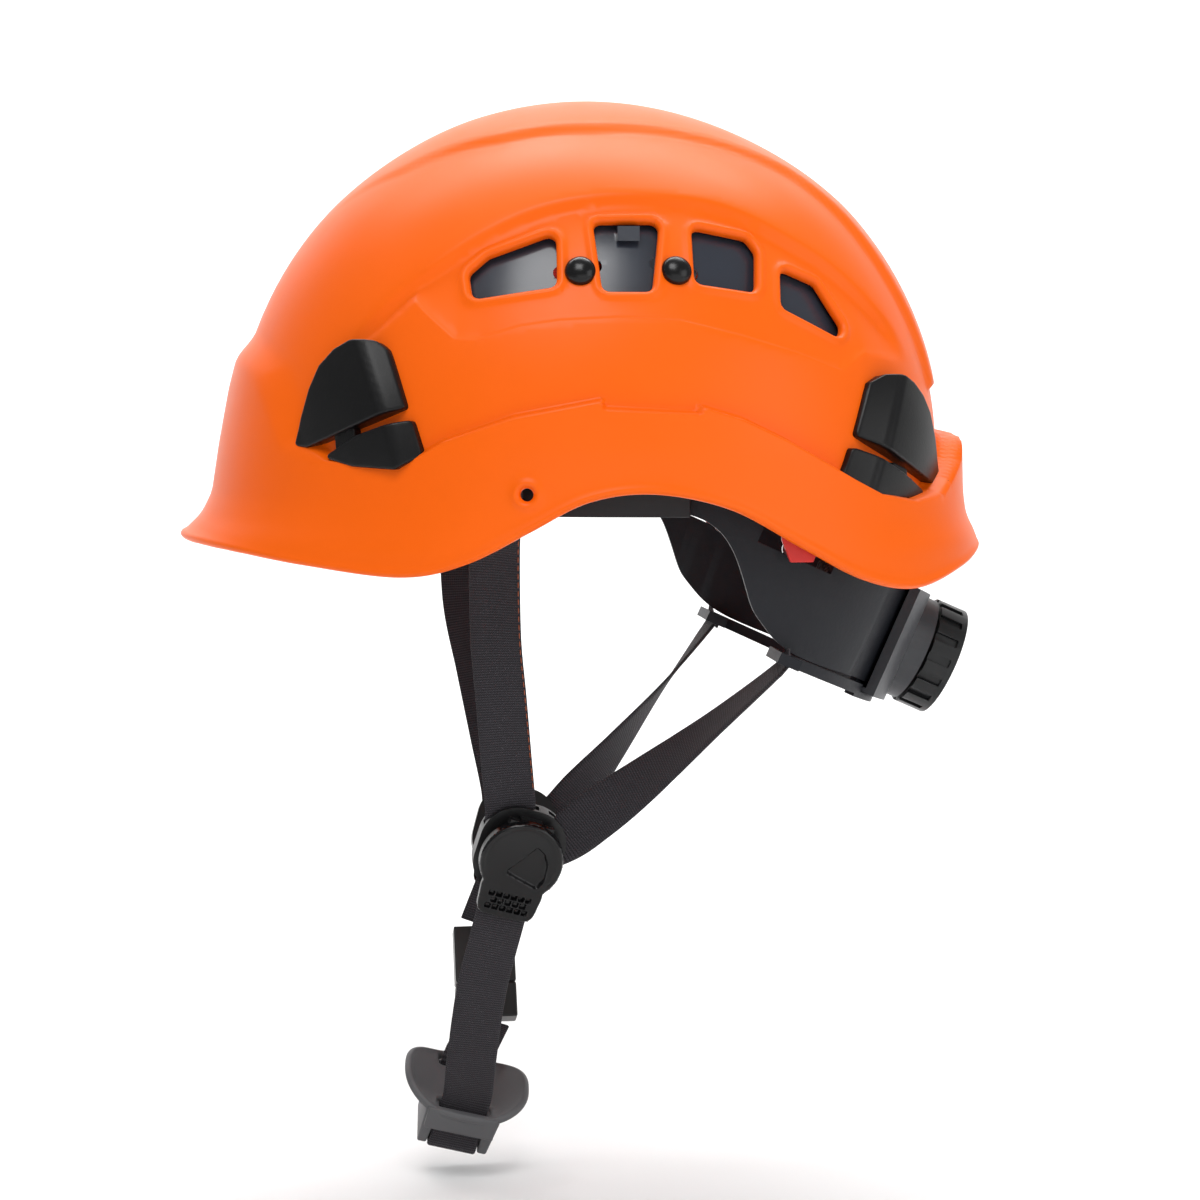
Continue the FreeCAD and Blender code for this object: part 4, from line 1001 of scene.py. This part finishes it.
def cup_point(x, y, z):
    return CUP_BASE + CUP_TURN @ np.array([x, y, z])


def nape_point(x, y, z):
    return NAPE_BASE + NAPE_TURN @ np.array([x, y, z])


def hang(strap, node, slot="webbing"):
    """Finish a strap that moves with one body and stands for one node."""
    finish_piece(strap, BODY_OF[node], slot, (node,))


STITCH_INSET = 8.5
STITCH_LIFT = 0.85
SEWN_PART = slice(4, -12)
STITCH_SIZES = {"Pitch": 0.0030, "Length": 0.0023, "Radius": 0.00018}
THREAD = plastic("Orange thread", (0.34, 0.06, 0.008), 0.6, 0.0)


def bake(obj):
    """Put an object's modifiers into its mesh."""
    view = bpy.context.evaluated_depsgraph_get()
    result = bpy.data.meshes.new_from_object(obj.evaluated_get(view), depsgraph=view)
    obj.modifiers.clear()
    obj.data = result


def stitch_tree():
    """Stitches spaced along a line of edges, each a short thread lying along it."""
    tree = bpy.data.node_groups.new("Running stitch", "GeometryNodeTree")
    tree.interface.new_socket("Line", in_out="INPUT", socket_type="NodeSocketGeometry")
    for name, value in STITCH_SIZES.items():
        tree.interface.new_socket(name, in_out="INPUT", socket_type="NodeSocketFloat").default_value = value
    tree.interface.new_socket("Thread", in_out="INPUT", socket_type="NodeSocketMaterial")
    tree.interface.new_socket("Stitches", in_out="OUTPUT", socket_type="NodeSocketGeometry")
    link = tree.links.new
    given = add(tree, "NodeGroupInput")
    curve = add(tree, "GeometryNodeMeshToCurve")
    spaced = add(tree, "GeometryNodeResampleCurve", mode="LENGTH")
    link(given.outputs["Line"], curve.inputs[0])
    link(curve.outputs[0], spaced.inputs["Curve"])
    link(given.outputs["Pitch"], spaced.inputs["Length"])
    tangent = add(tree, "GeometryNodeInputTangent")
    lying = add(tree, "FunctionNodeAlignRotationToVector", axis="Z")
    link(tangent.outputs[0], lying.inputs["Vector"])
    thread = add(tree, "GeometryNodeMeshUVSphere", Segments=8, Rings=6)
    link(given.outputs["Radius"], thread.inputs["Radius"])
    stretch = sums(tree, "DIVIDE", given.outputs["Length"], given.outputs["Radius"])
    scale = add(tree, "ShaderNodeCombineXYZ", X=1, Y=1)
    link(sums(tree, "MULTIPLY", stretch, 0.5), scale.inputs["Z"])
    placed = add(tree, "GeometryNodeInstanceOnPoints")
    link(spaced.outputs[0], placed.inputs["Points"])
    link(thread.outputs["Mesh"], placed.inputs["Instance"])
    link(lying.outputs[0], placed.inputs["Rotation"])
    link(scale.outputs[0], placed.inputs["Scale"])
    whole = add(tree, "GeometryNodeRealizeInstances")
    link(placed.outputs[0], whole.inputs[0])
    finish = add(tree, "GeometryNodeSetMaterial")
    link(whole.outputs[0], finish.inputs["Geometry"])
    link(given.outputs["Thread"], finish.inputs["Material"])
    result = add(tree, "NodeGroupOutput")
    link(finish.outputs[0], result.inputs[0])
    return tree


STITCHES = stitch_tree()


def sewn(name, line, body, slot):
    """A row of stitches along a line of points, in millimetres."""
    mesh = bpy.data.meshes.new(name)
    mesh.from_pydata([tuple(p) for p in line * MM], [(i, i + 1) for i in range(len(line) - 1)], [])
    row = bpy.data.objects.new(name, mesh)
    bpy.context.scene.collection.objects.link(row)
    stitches = row.modifiers.new("Stitches", "NODES")
    stitches.node_group = STITCHES
    sockets = {item.name: item.identifier for item in STITCHES.interface.items_tree}
    for size_name, value in STITCH_SIZES.items():
        stitches[sockets[size_name]] = value
    stitches[sockets["Thread"]] = THREAD
    bake(row)
    row.data.shade_smooth()
    finish_piece(row, body, slot, material=THREAD)


def make_front_strap(side_name, side, flip):
    """From its anchor in the shell down past the rim into the divider, with its edge stitched."""
    top = divider_point(side, -7.7, -5.8, 14.6)
    inside_base = divider_point(side, -4.4, -5.8, 3.0)
    bend = np.array([-44.6, 68, -45])
    stations = [(-46.5, 93.5, 10), (-46.0, 84, -2), (-45.6, 75, -15.5), bend,
                bend + (top - bend) * 0.35 + [0, 0.5, 0], bend + (top - bend) * 0.7 + [0, 0.3, 0],
                top, inside_base]
    turned = DIVIDER_TURN @ turn_about("Y", -16) @ [1, 0, 0]
    acrosses = [(0.94, 0.33, 0.1), (0.94, 0.33, 0.05), (0.94, 0.32, 0), (0.95, 0.28, 0),
                (0.97, 0.2, 0), (0.98, 0.12, 0), turned, turned]
    stations, acrosses = np.array(stations) * flip, np.array(acrosses) * flip
    strap = webbing(f"{side_name}_front_web", stations, acrosses, crease=0.5 * side)
    hang(strap, f"{side_name}_front_strap")
    centres, across, up = webbing_line(stations, acrosses)
    outward = np.sign(up[:, 1:2]) * side
    thread = centres + across * np.sign(across[:, :1]) * STITCH_INSET + up * outward * STITCH_LIFT
    sewn(f"{side_name}_front_thread", thread[SEWN_PART], "helmet", "webbing")


def make_rear_strap(side_name, side, flip):
    """From the nape eye down to the divider, turning from edge-on to flat on the way."""
    eye = nape_point(36.5, 78.5, -45.2)
    entry = divider_point(side, 14.2, -5.8, 7.6)
    inner = DIVIDER_TURN @ np.array([0.6, 0, -0.8])
    sag = np.array([0, 0, -1.2])
    stations = [nape_point(36.5, 78.5, -40.5), eye]
    stations += [eye + (entry - eye) * share + sag * bow for share, bow in ((0.3, 1), (0.6, 1), (0.85, 0.3))]
    stations += [entry, divider_point(side, 6, -5.8, 1.4)]
    acrosses = [(0, 1, 0), (0, 1, 0), (0.15, 0.97, -0.2), (0.4, 0.7, -0.5), (0.48, 0.2, -0.78), inner, inner]
    strap = webbing(f"{side_name}_rear_web", np.array(stations) * flip, np.array(acrosses) * flip)
    strap.data.materials.append(MATERIALS["webbing"])
    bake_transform(strap)
    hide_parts(f"{side_name}_rear_strap")


def make_chin_straps():
    """From the left divider through the cup to the buckle, and from there to the right divider."""
    level = CUP_TURN @ [1, 0, 0]
    upper = turn_about("Y", 11) @ [1, 0, 0]
    pivot = joint_place("chin_swing")
    down = [(-13.2, 8), (-12.5, 0), (-12.5, -14.5), (-11.4, -16.6), (-9, -17.2)]
    through = down + [(-y, z) for y, z in reversed(down)]
    stations = [pivot + [1.5, -2.5, 7.0], pivot, (-47.2, -36, -175.4), (-50, -24, -204)]
    stations += [cup_point(0, y, z) for y, z in through]
    stations += [BUCKLE_BASE + BUCKLE_TURN @ [0, 0, -14.2]]
    acrosses = [upper, upper, upper] + [level] * 11 + [(1, 0, 0)]
    hang(webbing("chin_web", stations, acrosses, gap=1.2), "chin_strap")
    stations = [divider_point(1, 0, -5.8, -17.3), BUCKLE_BASE + BUCKLE_TURN @ [0, 0, 23.4]]
    hang(webbing("buckle_web", stations, [DIVIDER_TURN @ [1, 0, 0], (1, 0, 0)]), "buckle_strap")


def make_straps():
    for side_name, side in SIDES:
        flip = FLIP if side < 0 else 1
        make_front_strap(side_name, side, flip)
        make_rear_strap(side_name, side, flip)
    make_chin_straps()


CROWN_STRAPS = (("front_left_crown_strap", 38, 0.0), ("front_right_crown_strap", -38, 1.6),
                ("side_crown_strap", 90, 3.2))
CROWN_LENGTH = 110.6
CROWN_RADIUS = 93.1
CROWN_FOOT = 7.0


def make_crown_straps():
    """Arched straps over the head, each a little higher than the last where they cross."""
    for name, angle, lift in CROWN_STRAPS:
        turn = math.radians(angle)
        heading = np.array([-math.cos(turn), math.sin(turn), 0])
        length, radius = CROWN_LENGTH + lift, CROWN_RADIUS + lift
        level = 1 / math.hypot(heading[0] / length, heading[1] / radius)
        foot = math.asin(CROWN_FOOT / radius)
        stations = [CENTRE + heading * level * math.cos(t) + [0, 0, radius * math.sin(t)]
                    for t in np.linspace(foot, math.pi - foot, 31)]
        across = np.cross(heading, [0, 0, 1])
        strap = webbing(name + "_web", stations, [across] * len(stations), width=CROWN_WIDTH, gap=5)
        hang(strap, name, "red_webbing")


make_straps()
make_crown_straps()


# ---------------------------------------------------------------- cam dividers
DISC = 15.0
CAM_BACK = 2.5


def cam_outline():
    """Disc with its finger tab, in the divider's own frame."""
    turn = np.linspace(math.radians(-42), math.radians(222), 90)
    disc = np.column_stack([np.cos(turn), np.sin(turn)]) * DISC
    tab = smooth_line([disc[-1], (-11.2, -12.5), (-10.8, -16), (-10.2, -20), (-7.8, -22.2), (0, -22.6),
                       (7.8, -22.2), (10.2, -20), (10.8, -16), (11.2, -12.5), disc[0]], 0.5)[1:-1]
    return even_loop(np.vstack([disc, tab]), 0.7)


THUMB = [(-5.2, -5.0), (3.7, 7.5), (7.6, 5.2), (9.8, 0.6), (10.2, -4.5), (8.45, -9.1)]


def cam_height(xz):
    """Height of the lever's outer face above its flat back."""
    radius = np.hypot(xz[:, 0], xz[:, 1])
    rim = 0.7 * np.exp(-((radius - 13.7) / 0.8) ** 2) * smoothstep((xz[:, 1] + 11) / 5)
    crown = 0.9 * (1 - np.clip(radius / 15, 0, 1) ** 2)
    corners = rounded_loop(THUMB, 1.3, 0.5)
    depth = np.where(inside(xz, corners), distance_to(xz, corners, True), 0)
    thumb = 1.5 * smoothstep(depth / 0.9)
    height = 2.7 + rim + crown - thumb
    slope = smoothstep((-10.5 - xz[:, 1]) / 3)
    height = height + slope * (-0.2 + 0.05 * (xz[:, 1] + 20))
    for row in range(3):
        for column in range(6 - row % 2):
            x = (column - 2.5 + 0.5 * (row % 2)) * 2.7
            z = -13.6 - row * 2.6
            off = np.maximum(np.abs(xz[:, 0] - x) / 0.85, np.abs(xz[:, 1] - z) / 0.8)
            height = height - 1.3 * smoothstep((1.25 - off) / 0.4)
    return height


def flat_place(uv):
    return np.column_stack([uv[:, 0], np.zeros(len(uv)), uv[:, 1]])


def make_levers():
    loop = cam_outline()
    edges = [(loop, True, -outward_sense(loop))]
    uv, triangles, depth, loops = triangulate(loop, edges, flat_place, 0.42, (0, 0.08, 0.25, 0.5, 0.8))
    triangles = triangles[:, ::-1]
    top = flat_place(uv) + cam_height(uv)[:, None] * [0, 1, 0] + [0, CAM_BACK, 0]
    back = flat_place(uv) + [0, CAM_BACK, 0]
    for side_name, side in SIDES:
        place = lambda local: np.array([divider_point(side, 0, 0, 0)]) + local @ DIVIDER_TURN.T
        plate = moulded("cam", place(top), triangles, depth, loops, 0, 0.8, inner=place(back))
        parts = [plate]
        for x in (-6.15, 6.15):
            ends = place(np.array([[x - 1.85, 0.5, 12.2], [x + 1.85, 0.5, 12.2]]))
            parts.append(lathe("lug", [(0, 1.6), (0.2, 1.9), (3.5, 1.9), (3.7, 1.6)], ends[0],
                               ends[1] - ends[0], 24))
            parts.append(soft_box("web", (x - 1.85, 0.5, 10.3), (x + 1.85, 3.2, 14.1), 0.3, place))
        parts.append(soft_box("cam_nose", (-7, -1.8, -6), (7, 3.0, 4), 1.2, place))
        lever = join_pieces(f"{side_name}_lever_look", parts)
        if side < 0:
            twin = reflect(lever)
            bpy.data.objects.remove(lever)
            lever = twin
        lever.data.set_sharp_from_angle(angle=math.radians(50))
        finish_piece(lever, f"{side_name}_lever", "lever_plastic", (f"{side_name}_divider_lever",))


def soft_box(name, low, high, radius, place, segments=3):
    """A box with rounded edges in a local frame."""
    work = bmesh.new()
    bmesh.ops.create_cube(work, size=1.0)
    low, high = np.array(low, float), np.array(high, float)
    for vert in work.verts:
        vert.co = Vector((low + high) / 2 + np.array(vert.co) * (high - low))
    bmesh.ops.bevel(work, geom=work.edges[:], offset=radius, segments=segments, profile=0.5, affect="EDGES")
    points = place(np.array([tuple(v.co) for v in work.verts]))
    work.verts.index_update()
    faces = [tuple(v.index for v in face.verts) for face in work.faces]
    work.free()
    return new_mesh(name, points, faces, 50)


make_levers()


# ---------------------------------------------------------------- chin cup
def cup_outline():
    turn = np.linspace(0, 2 * math.pi, 400, endpoint=False)
    c, s = np.cos(turn), np.sin(turn)
    x = 22.6 * np.sign(c) * np.abs(c) ** 0.8
    y = 19.0 * np.sign(s) * np.abs(s) ** 0.75
    return even_loop(np.column_stack([x, y]), 1.0)


def cup_surface(uv):
    """Upper face of the chin rest: lobes flared up at both ends, edges turned slightly down."""
    x, y = uv[:, 0], uv[:, 1]
    lobe = np.clip((np.abs(x) - 9) / 13, 0, 1.2)
    far_edge = np.clip((y + 12) / 30, 0, 1) ** 2
    near_edge = np.clip(-y / 19, 0, 1) ** 2
    height = 2.6 + 5.6 * lobe ** 1.6 + 3.4 * far_edge - 0.8 * near_edge
    return CUP_BASE + np.column_stack([x, y, height]) @ CUP_TURN.T


def make_cup():
    outline = cup_outline()
    slots = [rounded_loop([(-9.9, y - 2.4), (9.9, y - 2.4), (9.9, y + 2.4), (-9.9, y + 2.4)], 1.0, 0.9)
             for y in (-12.8, 12.8)]
    edges = [(outline, True, -outward_sense(outline))]
    edges += [(slot, True, outward_sense(slot)) for slot in slots]
    rows = (0, 0.1, 0.35, 0.7, 1.1, 1.7)
    uv, triangles, depth, loops = triangulate(outline, edges, cup_surface, 1.1, rows)
    lip = 0.35 * np.exp(-((depth - 1.2) / 0.8) ** 2)
    saddle = moulded("saddle", cup_surface(uv), triangles, depth, loops, 2.6, 1.1, lip)
    place = lambda local: CUP_BASE + local @ CUP_TURN.T
    parts = [saddle]
    for side in (-1, 1):
        low, high = sorted((side * 18.2, side * 15.9))
        parts.append(soft_box("band", (-13, low, -6.5), (13, high, 2.2), 0.6, place))
        parts.append(leg("leg", side * 11.4, place))
    cup = join_pieces("chin_cup_look", parts)
    cup.data.set_sharp_from_angle(angle=math.radians(50))
    finish_piece(cup, "cup", "cup_rubber", ("chin_cup",))


def leg(name, x, place):
    """One tapering cheek under the rest."""
    def tapered(local):
        down = np.clip((1.5 - local[:, 2]) / 18, 0, 1)
        squeeze = 1 - 0.35 * down
        return place(np.column_stack([x + (local[:, 0] - x) * (1 + 0.5 * (1 - down)),
                                      local[:, 1] * squeeze, local[:, 2]]))
    return soft_box(name, (x - 1.7, -18.0, -16.5), (x + 1.7, 18.0, 1.5), 0.8, tapered)


make_cup()


# ---------------------------------------------------------------- pieces refined from the CAD
def plain_pieces():
    for side, _ in SIDES:
        refined(f"{side}_vent_shutter", "shutter_plastic", 0.25)
        refined(f"{side}_nape_wing", "wing_plastic", 0.35)
        refined(f"{side}_divider_base", "buckle_plastic", 0.6, 3)
        refined(f"{side}_divider_lock_plate", "red_plastic", 0.5)
        refined(f"{side}_hanger", "red_plastic", 0.4)
    refined("ratchet_housing", "housing_plastic", 0.8, 3)
    refined("nape_cradle", "wing_plastic", 0.5)
    refined("adjuster_knob", "knob_plastic", 0.6, 3)
    refined("headband_front", "band_plastic", 0.4)
    refined("buckle_socket", "buckle_plastic", 0.8, 3)
    refined("buckle_plug", "buckle_plastic", 0.8, 3)


plain_pieces()

# ---------------------------------------------------------------- pads
PAD_BODIES = {"sweat_pad": "helmet", "crown_pad": "helmet", "nape_pad": "nape"}
PAD_VOXEL = 0.002
PAD_INSET = 0.0005
PAD_SWELL = 0.0012
PAD_FRAMES = 20


def points_of(mesh):
    flat = np.empty(len(mesh.vertices) * 3)
    mesh.vertices.foreach_get("co", flat)
    return flat.reshape(-1, 3)


def pad_blank(node):
    """The pad as an even mesh, cut a little smaller than it ends up."""
    mesh = frame["nodes"][node].data.copy()
    form = bmesh.new()
    form.from_mesh(mesh)
    bmesh.ops.remove_doubles(form, verts=form.verts, dist=1e-6)
    form.to_mesh(mesh)
    form.free()
    pad = bpy.data.objects.new(f"{node}_look", mesh)
    bpy.context.scene.collection.objects.link(pad)
    even = pad.modifiers.new("Even", "REMESH")
    even.mode = "VOXEL"
    even.voxel_size = PAD_VOXEL
    inset = pad.modifiers.new("Inset", "DISPLACE")
    inset.mid_level = 0
    inset.strength = -PAD_INSET
    bake(pad)
    return pad


def swell(pad):
    """Let the cover fill out under pressure, no further than PAD_SWELL."""
    start = points_of(pad.data)
    cover = pad.modifiers.new("Cover", "CLOTH")
    cover.settings.use_pressure = True
    cover.settings.uniform_pressure_force = 4.0
    cover.settings.effector_weights.gravity = 0.0
    for step in range(1, PAD_FRAMES + 1):
        bpy.context.scene.frame_set(step)
    bake(pad)
    bpy.context.scene.frame_set(1)
    moved = points_of(pad.data) - start
    moved -= moved.mean(axis=0)
    far = np.linalg.norm(moved, axis=1)
    moved *= np.minimum(1, PAD_SWELL / np.maximum(far, 1e-9))[:, None]
    pad.data.vertices.foreach_set("co", (start + moved).ravel())


def make_pads():
    for node, body in PAD_BODIES.items():
        pad = pad_blank(node)
        swell(pad)
        finer = pad.modifiers.new("Finer", "SUBSURF")
        finer.levels = finer.render_levels = 1
        bake(pad)
        pad.data.shade_smooth()
        finish_piece(pad, body, "pad_fabric", (node,))


make_pads()

# ---------------------------------------------------------------- everything still shown as CAD
CAD_SLOTS = {
    "_anchor": "band_plastic", "pinion": "knob_plastic", "knob_screw": "pin_steel",
    "ratchet_spring": "spring_steel", "_pin": "pin_steel",
}
for node_name, node_object in frame["nodes"].items():
    for ending, slot_name in CAD_SLOTS.items():
        if node_name.endswith(ending):
            node_object.data.materials.clear()
            node_object.data.materials.append(MATERIALS[slot_name])
            break

# ---------------------------------------------------------------- stage, light and camera
bpy.context.scene.view_settings.view_transform = "Standard"
CAMERA_AZIMUTH = -7.0
CAMERA_ELEVATION = 5.0
CAMERA_DISTANCE = 1.15
AIM = Vector((0, 0, -0.03864))


def make_stage():
    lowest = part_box("chin_cup")[0][2]
    mesh = bpy.data.meshes.new("floor")
    profile = [(-2.5, 0.0), (0.7, 0.0), (1.0, 0.04), (1.25, 0.16), (1.42, 0.4), (1.5, 0.8), (1.5, 2.6)]
    points = [(x, y, z) for x in (-3.0, 3.0) for y, z in profile]
    count = len(profile)
    faces = [(i, i + 1, i + 1 + count, i + count) for i in range(count - 1)]
    mesh.from_pydata(points, [], faces)
    mesh.shade_smooth()
    floor = bpy.data.objects.new("floor", mesh)
    floor.location = (0, 0, lowest - 0.006)
    bpy.context.scene.collection.objects.link(floor)
    material, tree, shader = new_material("Floor")
    shader.inputs["Base Color"].default_value = (0.86, 0.86, 0.86, 1)
    shader.inputs["Roughness"].default_value = 0.9
    mesh.materials.append(material)


def make_light(name, location, target, size, power, colour=(1, 1, 1)):
    lamp = bpy.data.lights.new(name, "AREA")
    lamp.shape = "RECTANGLE"
    lamp.size, lamp.size_y = size
    lamp.energy = power
    lamp.color = colour
    obj = bpy.data.objects.new(name, lamp)
    obj.location = location
    aim = Vector(target) - Vector(location)
    obj.rotation_euler = aim.to_track_quat("-Z", "Y").to_euler()
    bpy.context.scene.collection.objects.link(obj)


def make_camera():
    turn = math.radians(CAMERA_AZIMUTH)
    lift = math.radians(CAMERA_ELEVATION)
    back = Vector((math.sin(turn) * math.cos(lift), -math.cos(turn) * math.cos(lift), math.sin(lift)))
    data = bpy.data.cameras.new("camera")
    data.lens = 93.75
    data.sensor_width = 36
    camera = bpy.data.objects.new("camera", data)
    camera.location = AIM + back * CAMERA_DISTANCE
    camera.rotation_euler = (-back).to_track_quat("-Z", "Y").to_euler()
    bpy.context.scene.collection.objects.link(camera)
    bpy.context.scene.camera = camera


make_stage()
make_light("key", (-0.25, -1.1, 1.5), (0, 0, 0.02), (0.9, 0.9), 18.5)
make_light("fill", (1.4, -1.2, 0.4), (0, 0, -0.05), (1.1, 1.1), 7)
make_light("low", (0.1, -1.6, -0.1), (0, 0, -0.08), (1.6, 0.8), 3.5)
make_light("top", (0.2, 0.5, 1.5), (0.02, 0, 0), (1.2, 0.8), 8)
make_light("backdrop", (0.0, 0.75, 1.6), (0, 1.5, 0.3), (2.4, 0.6), 34)
make_camera()
world = bpy.data.worlds.new("Studio")
world.use_nodes = True
world.node_tree.nodes["Background"].inputs["Color"].default_value = (1, 1, 1, 1)
world.node_tree.nodes["Background"].inputs["Strength"].default_value = 0.34
bpy.context.scene.world = world
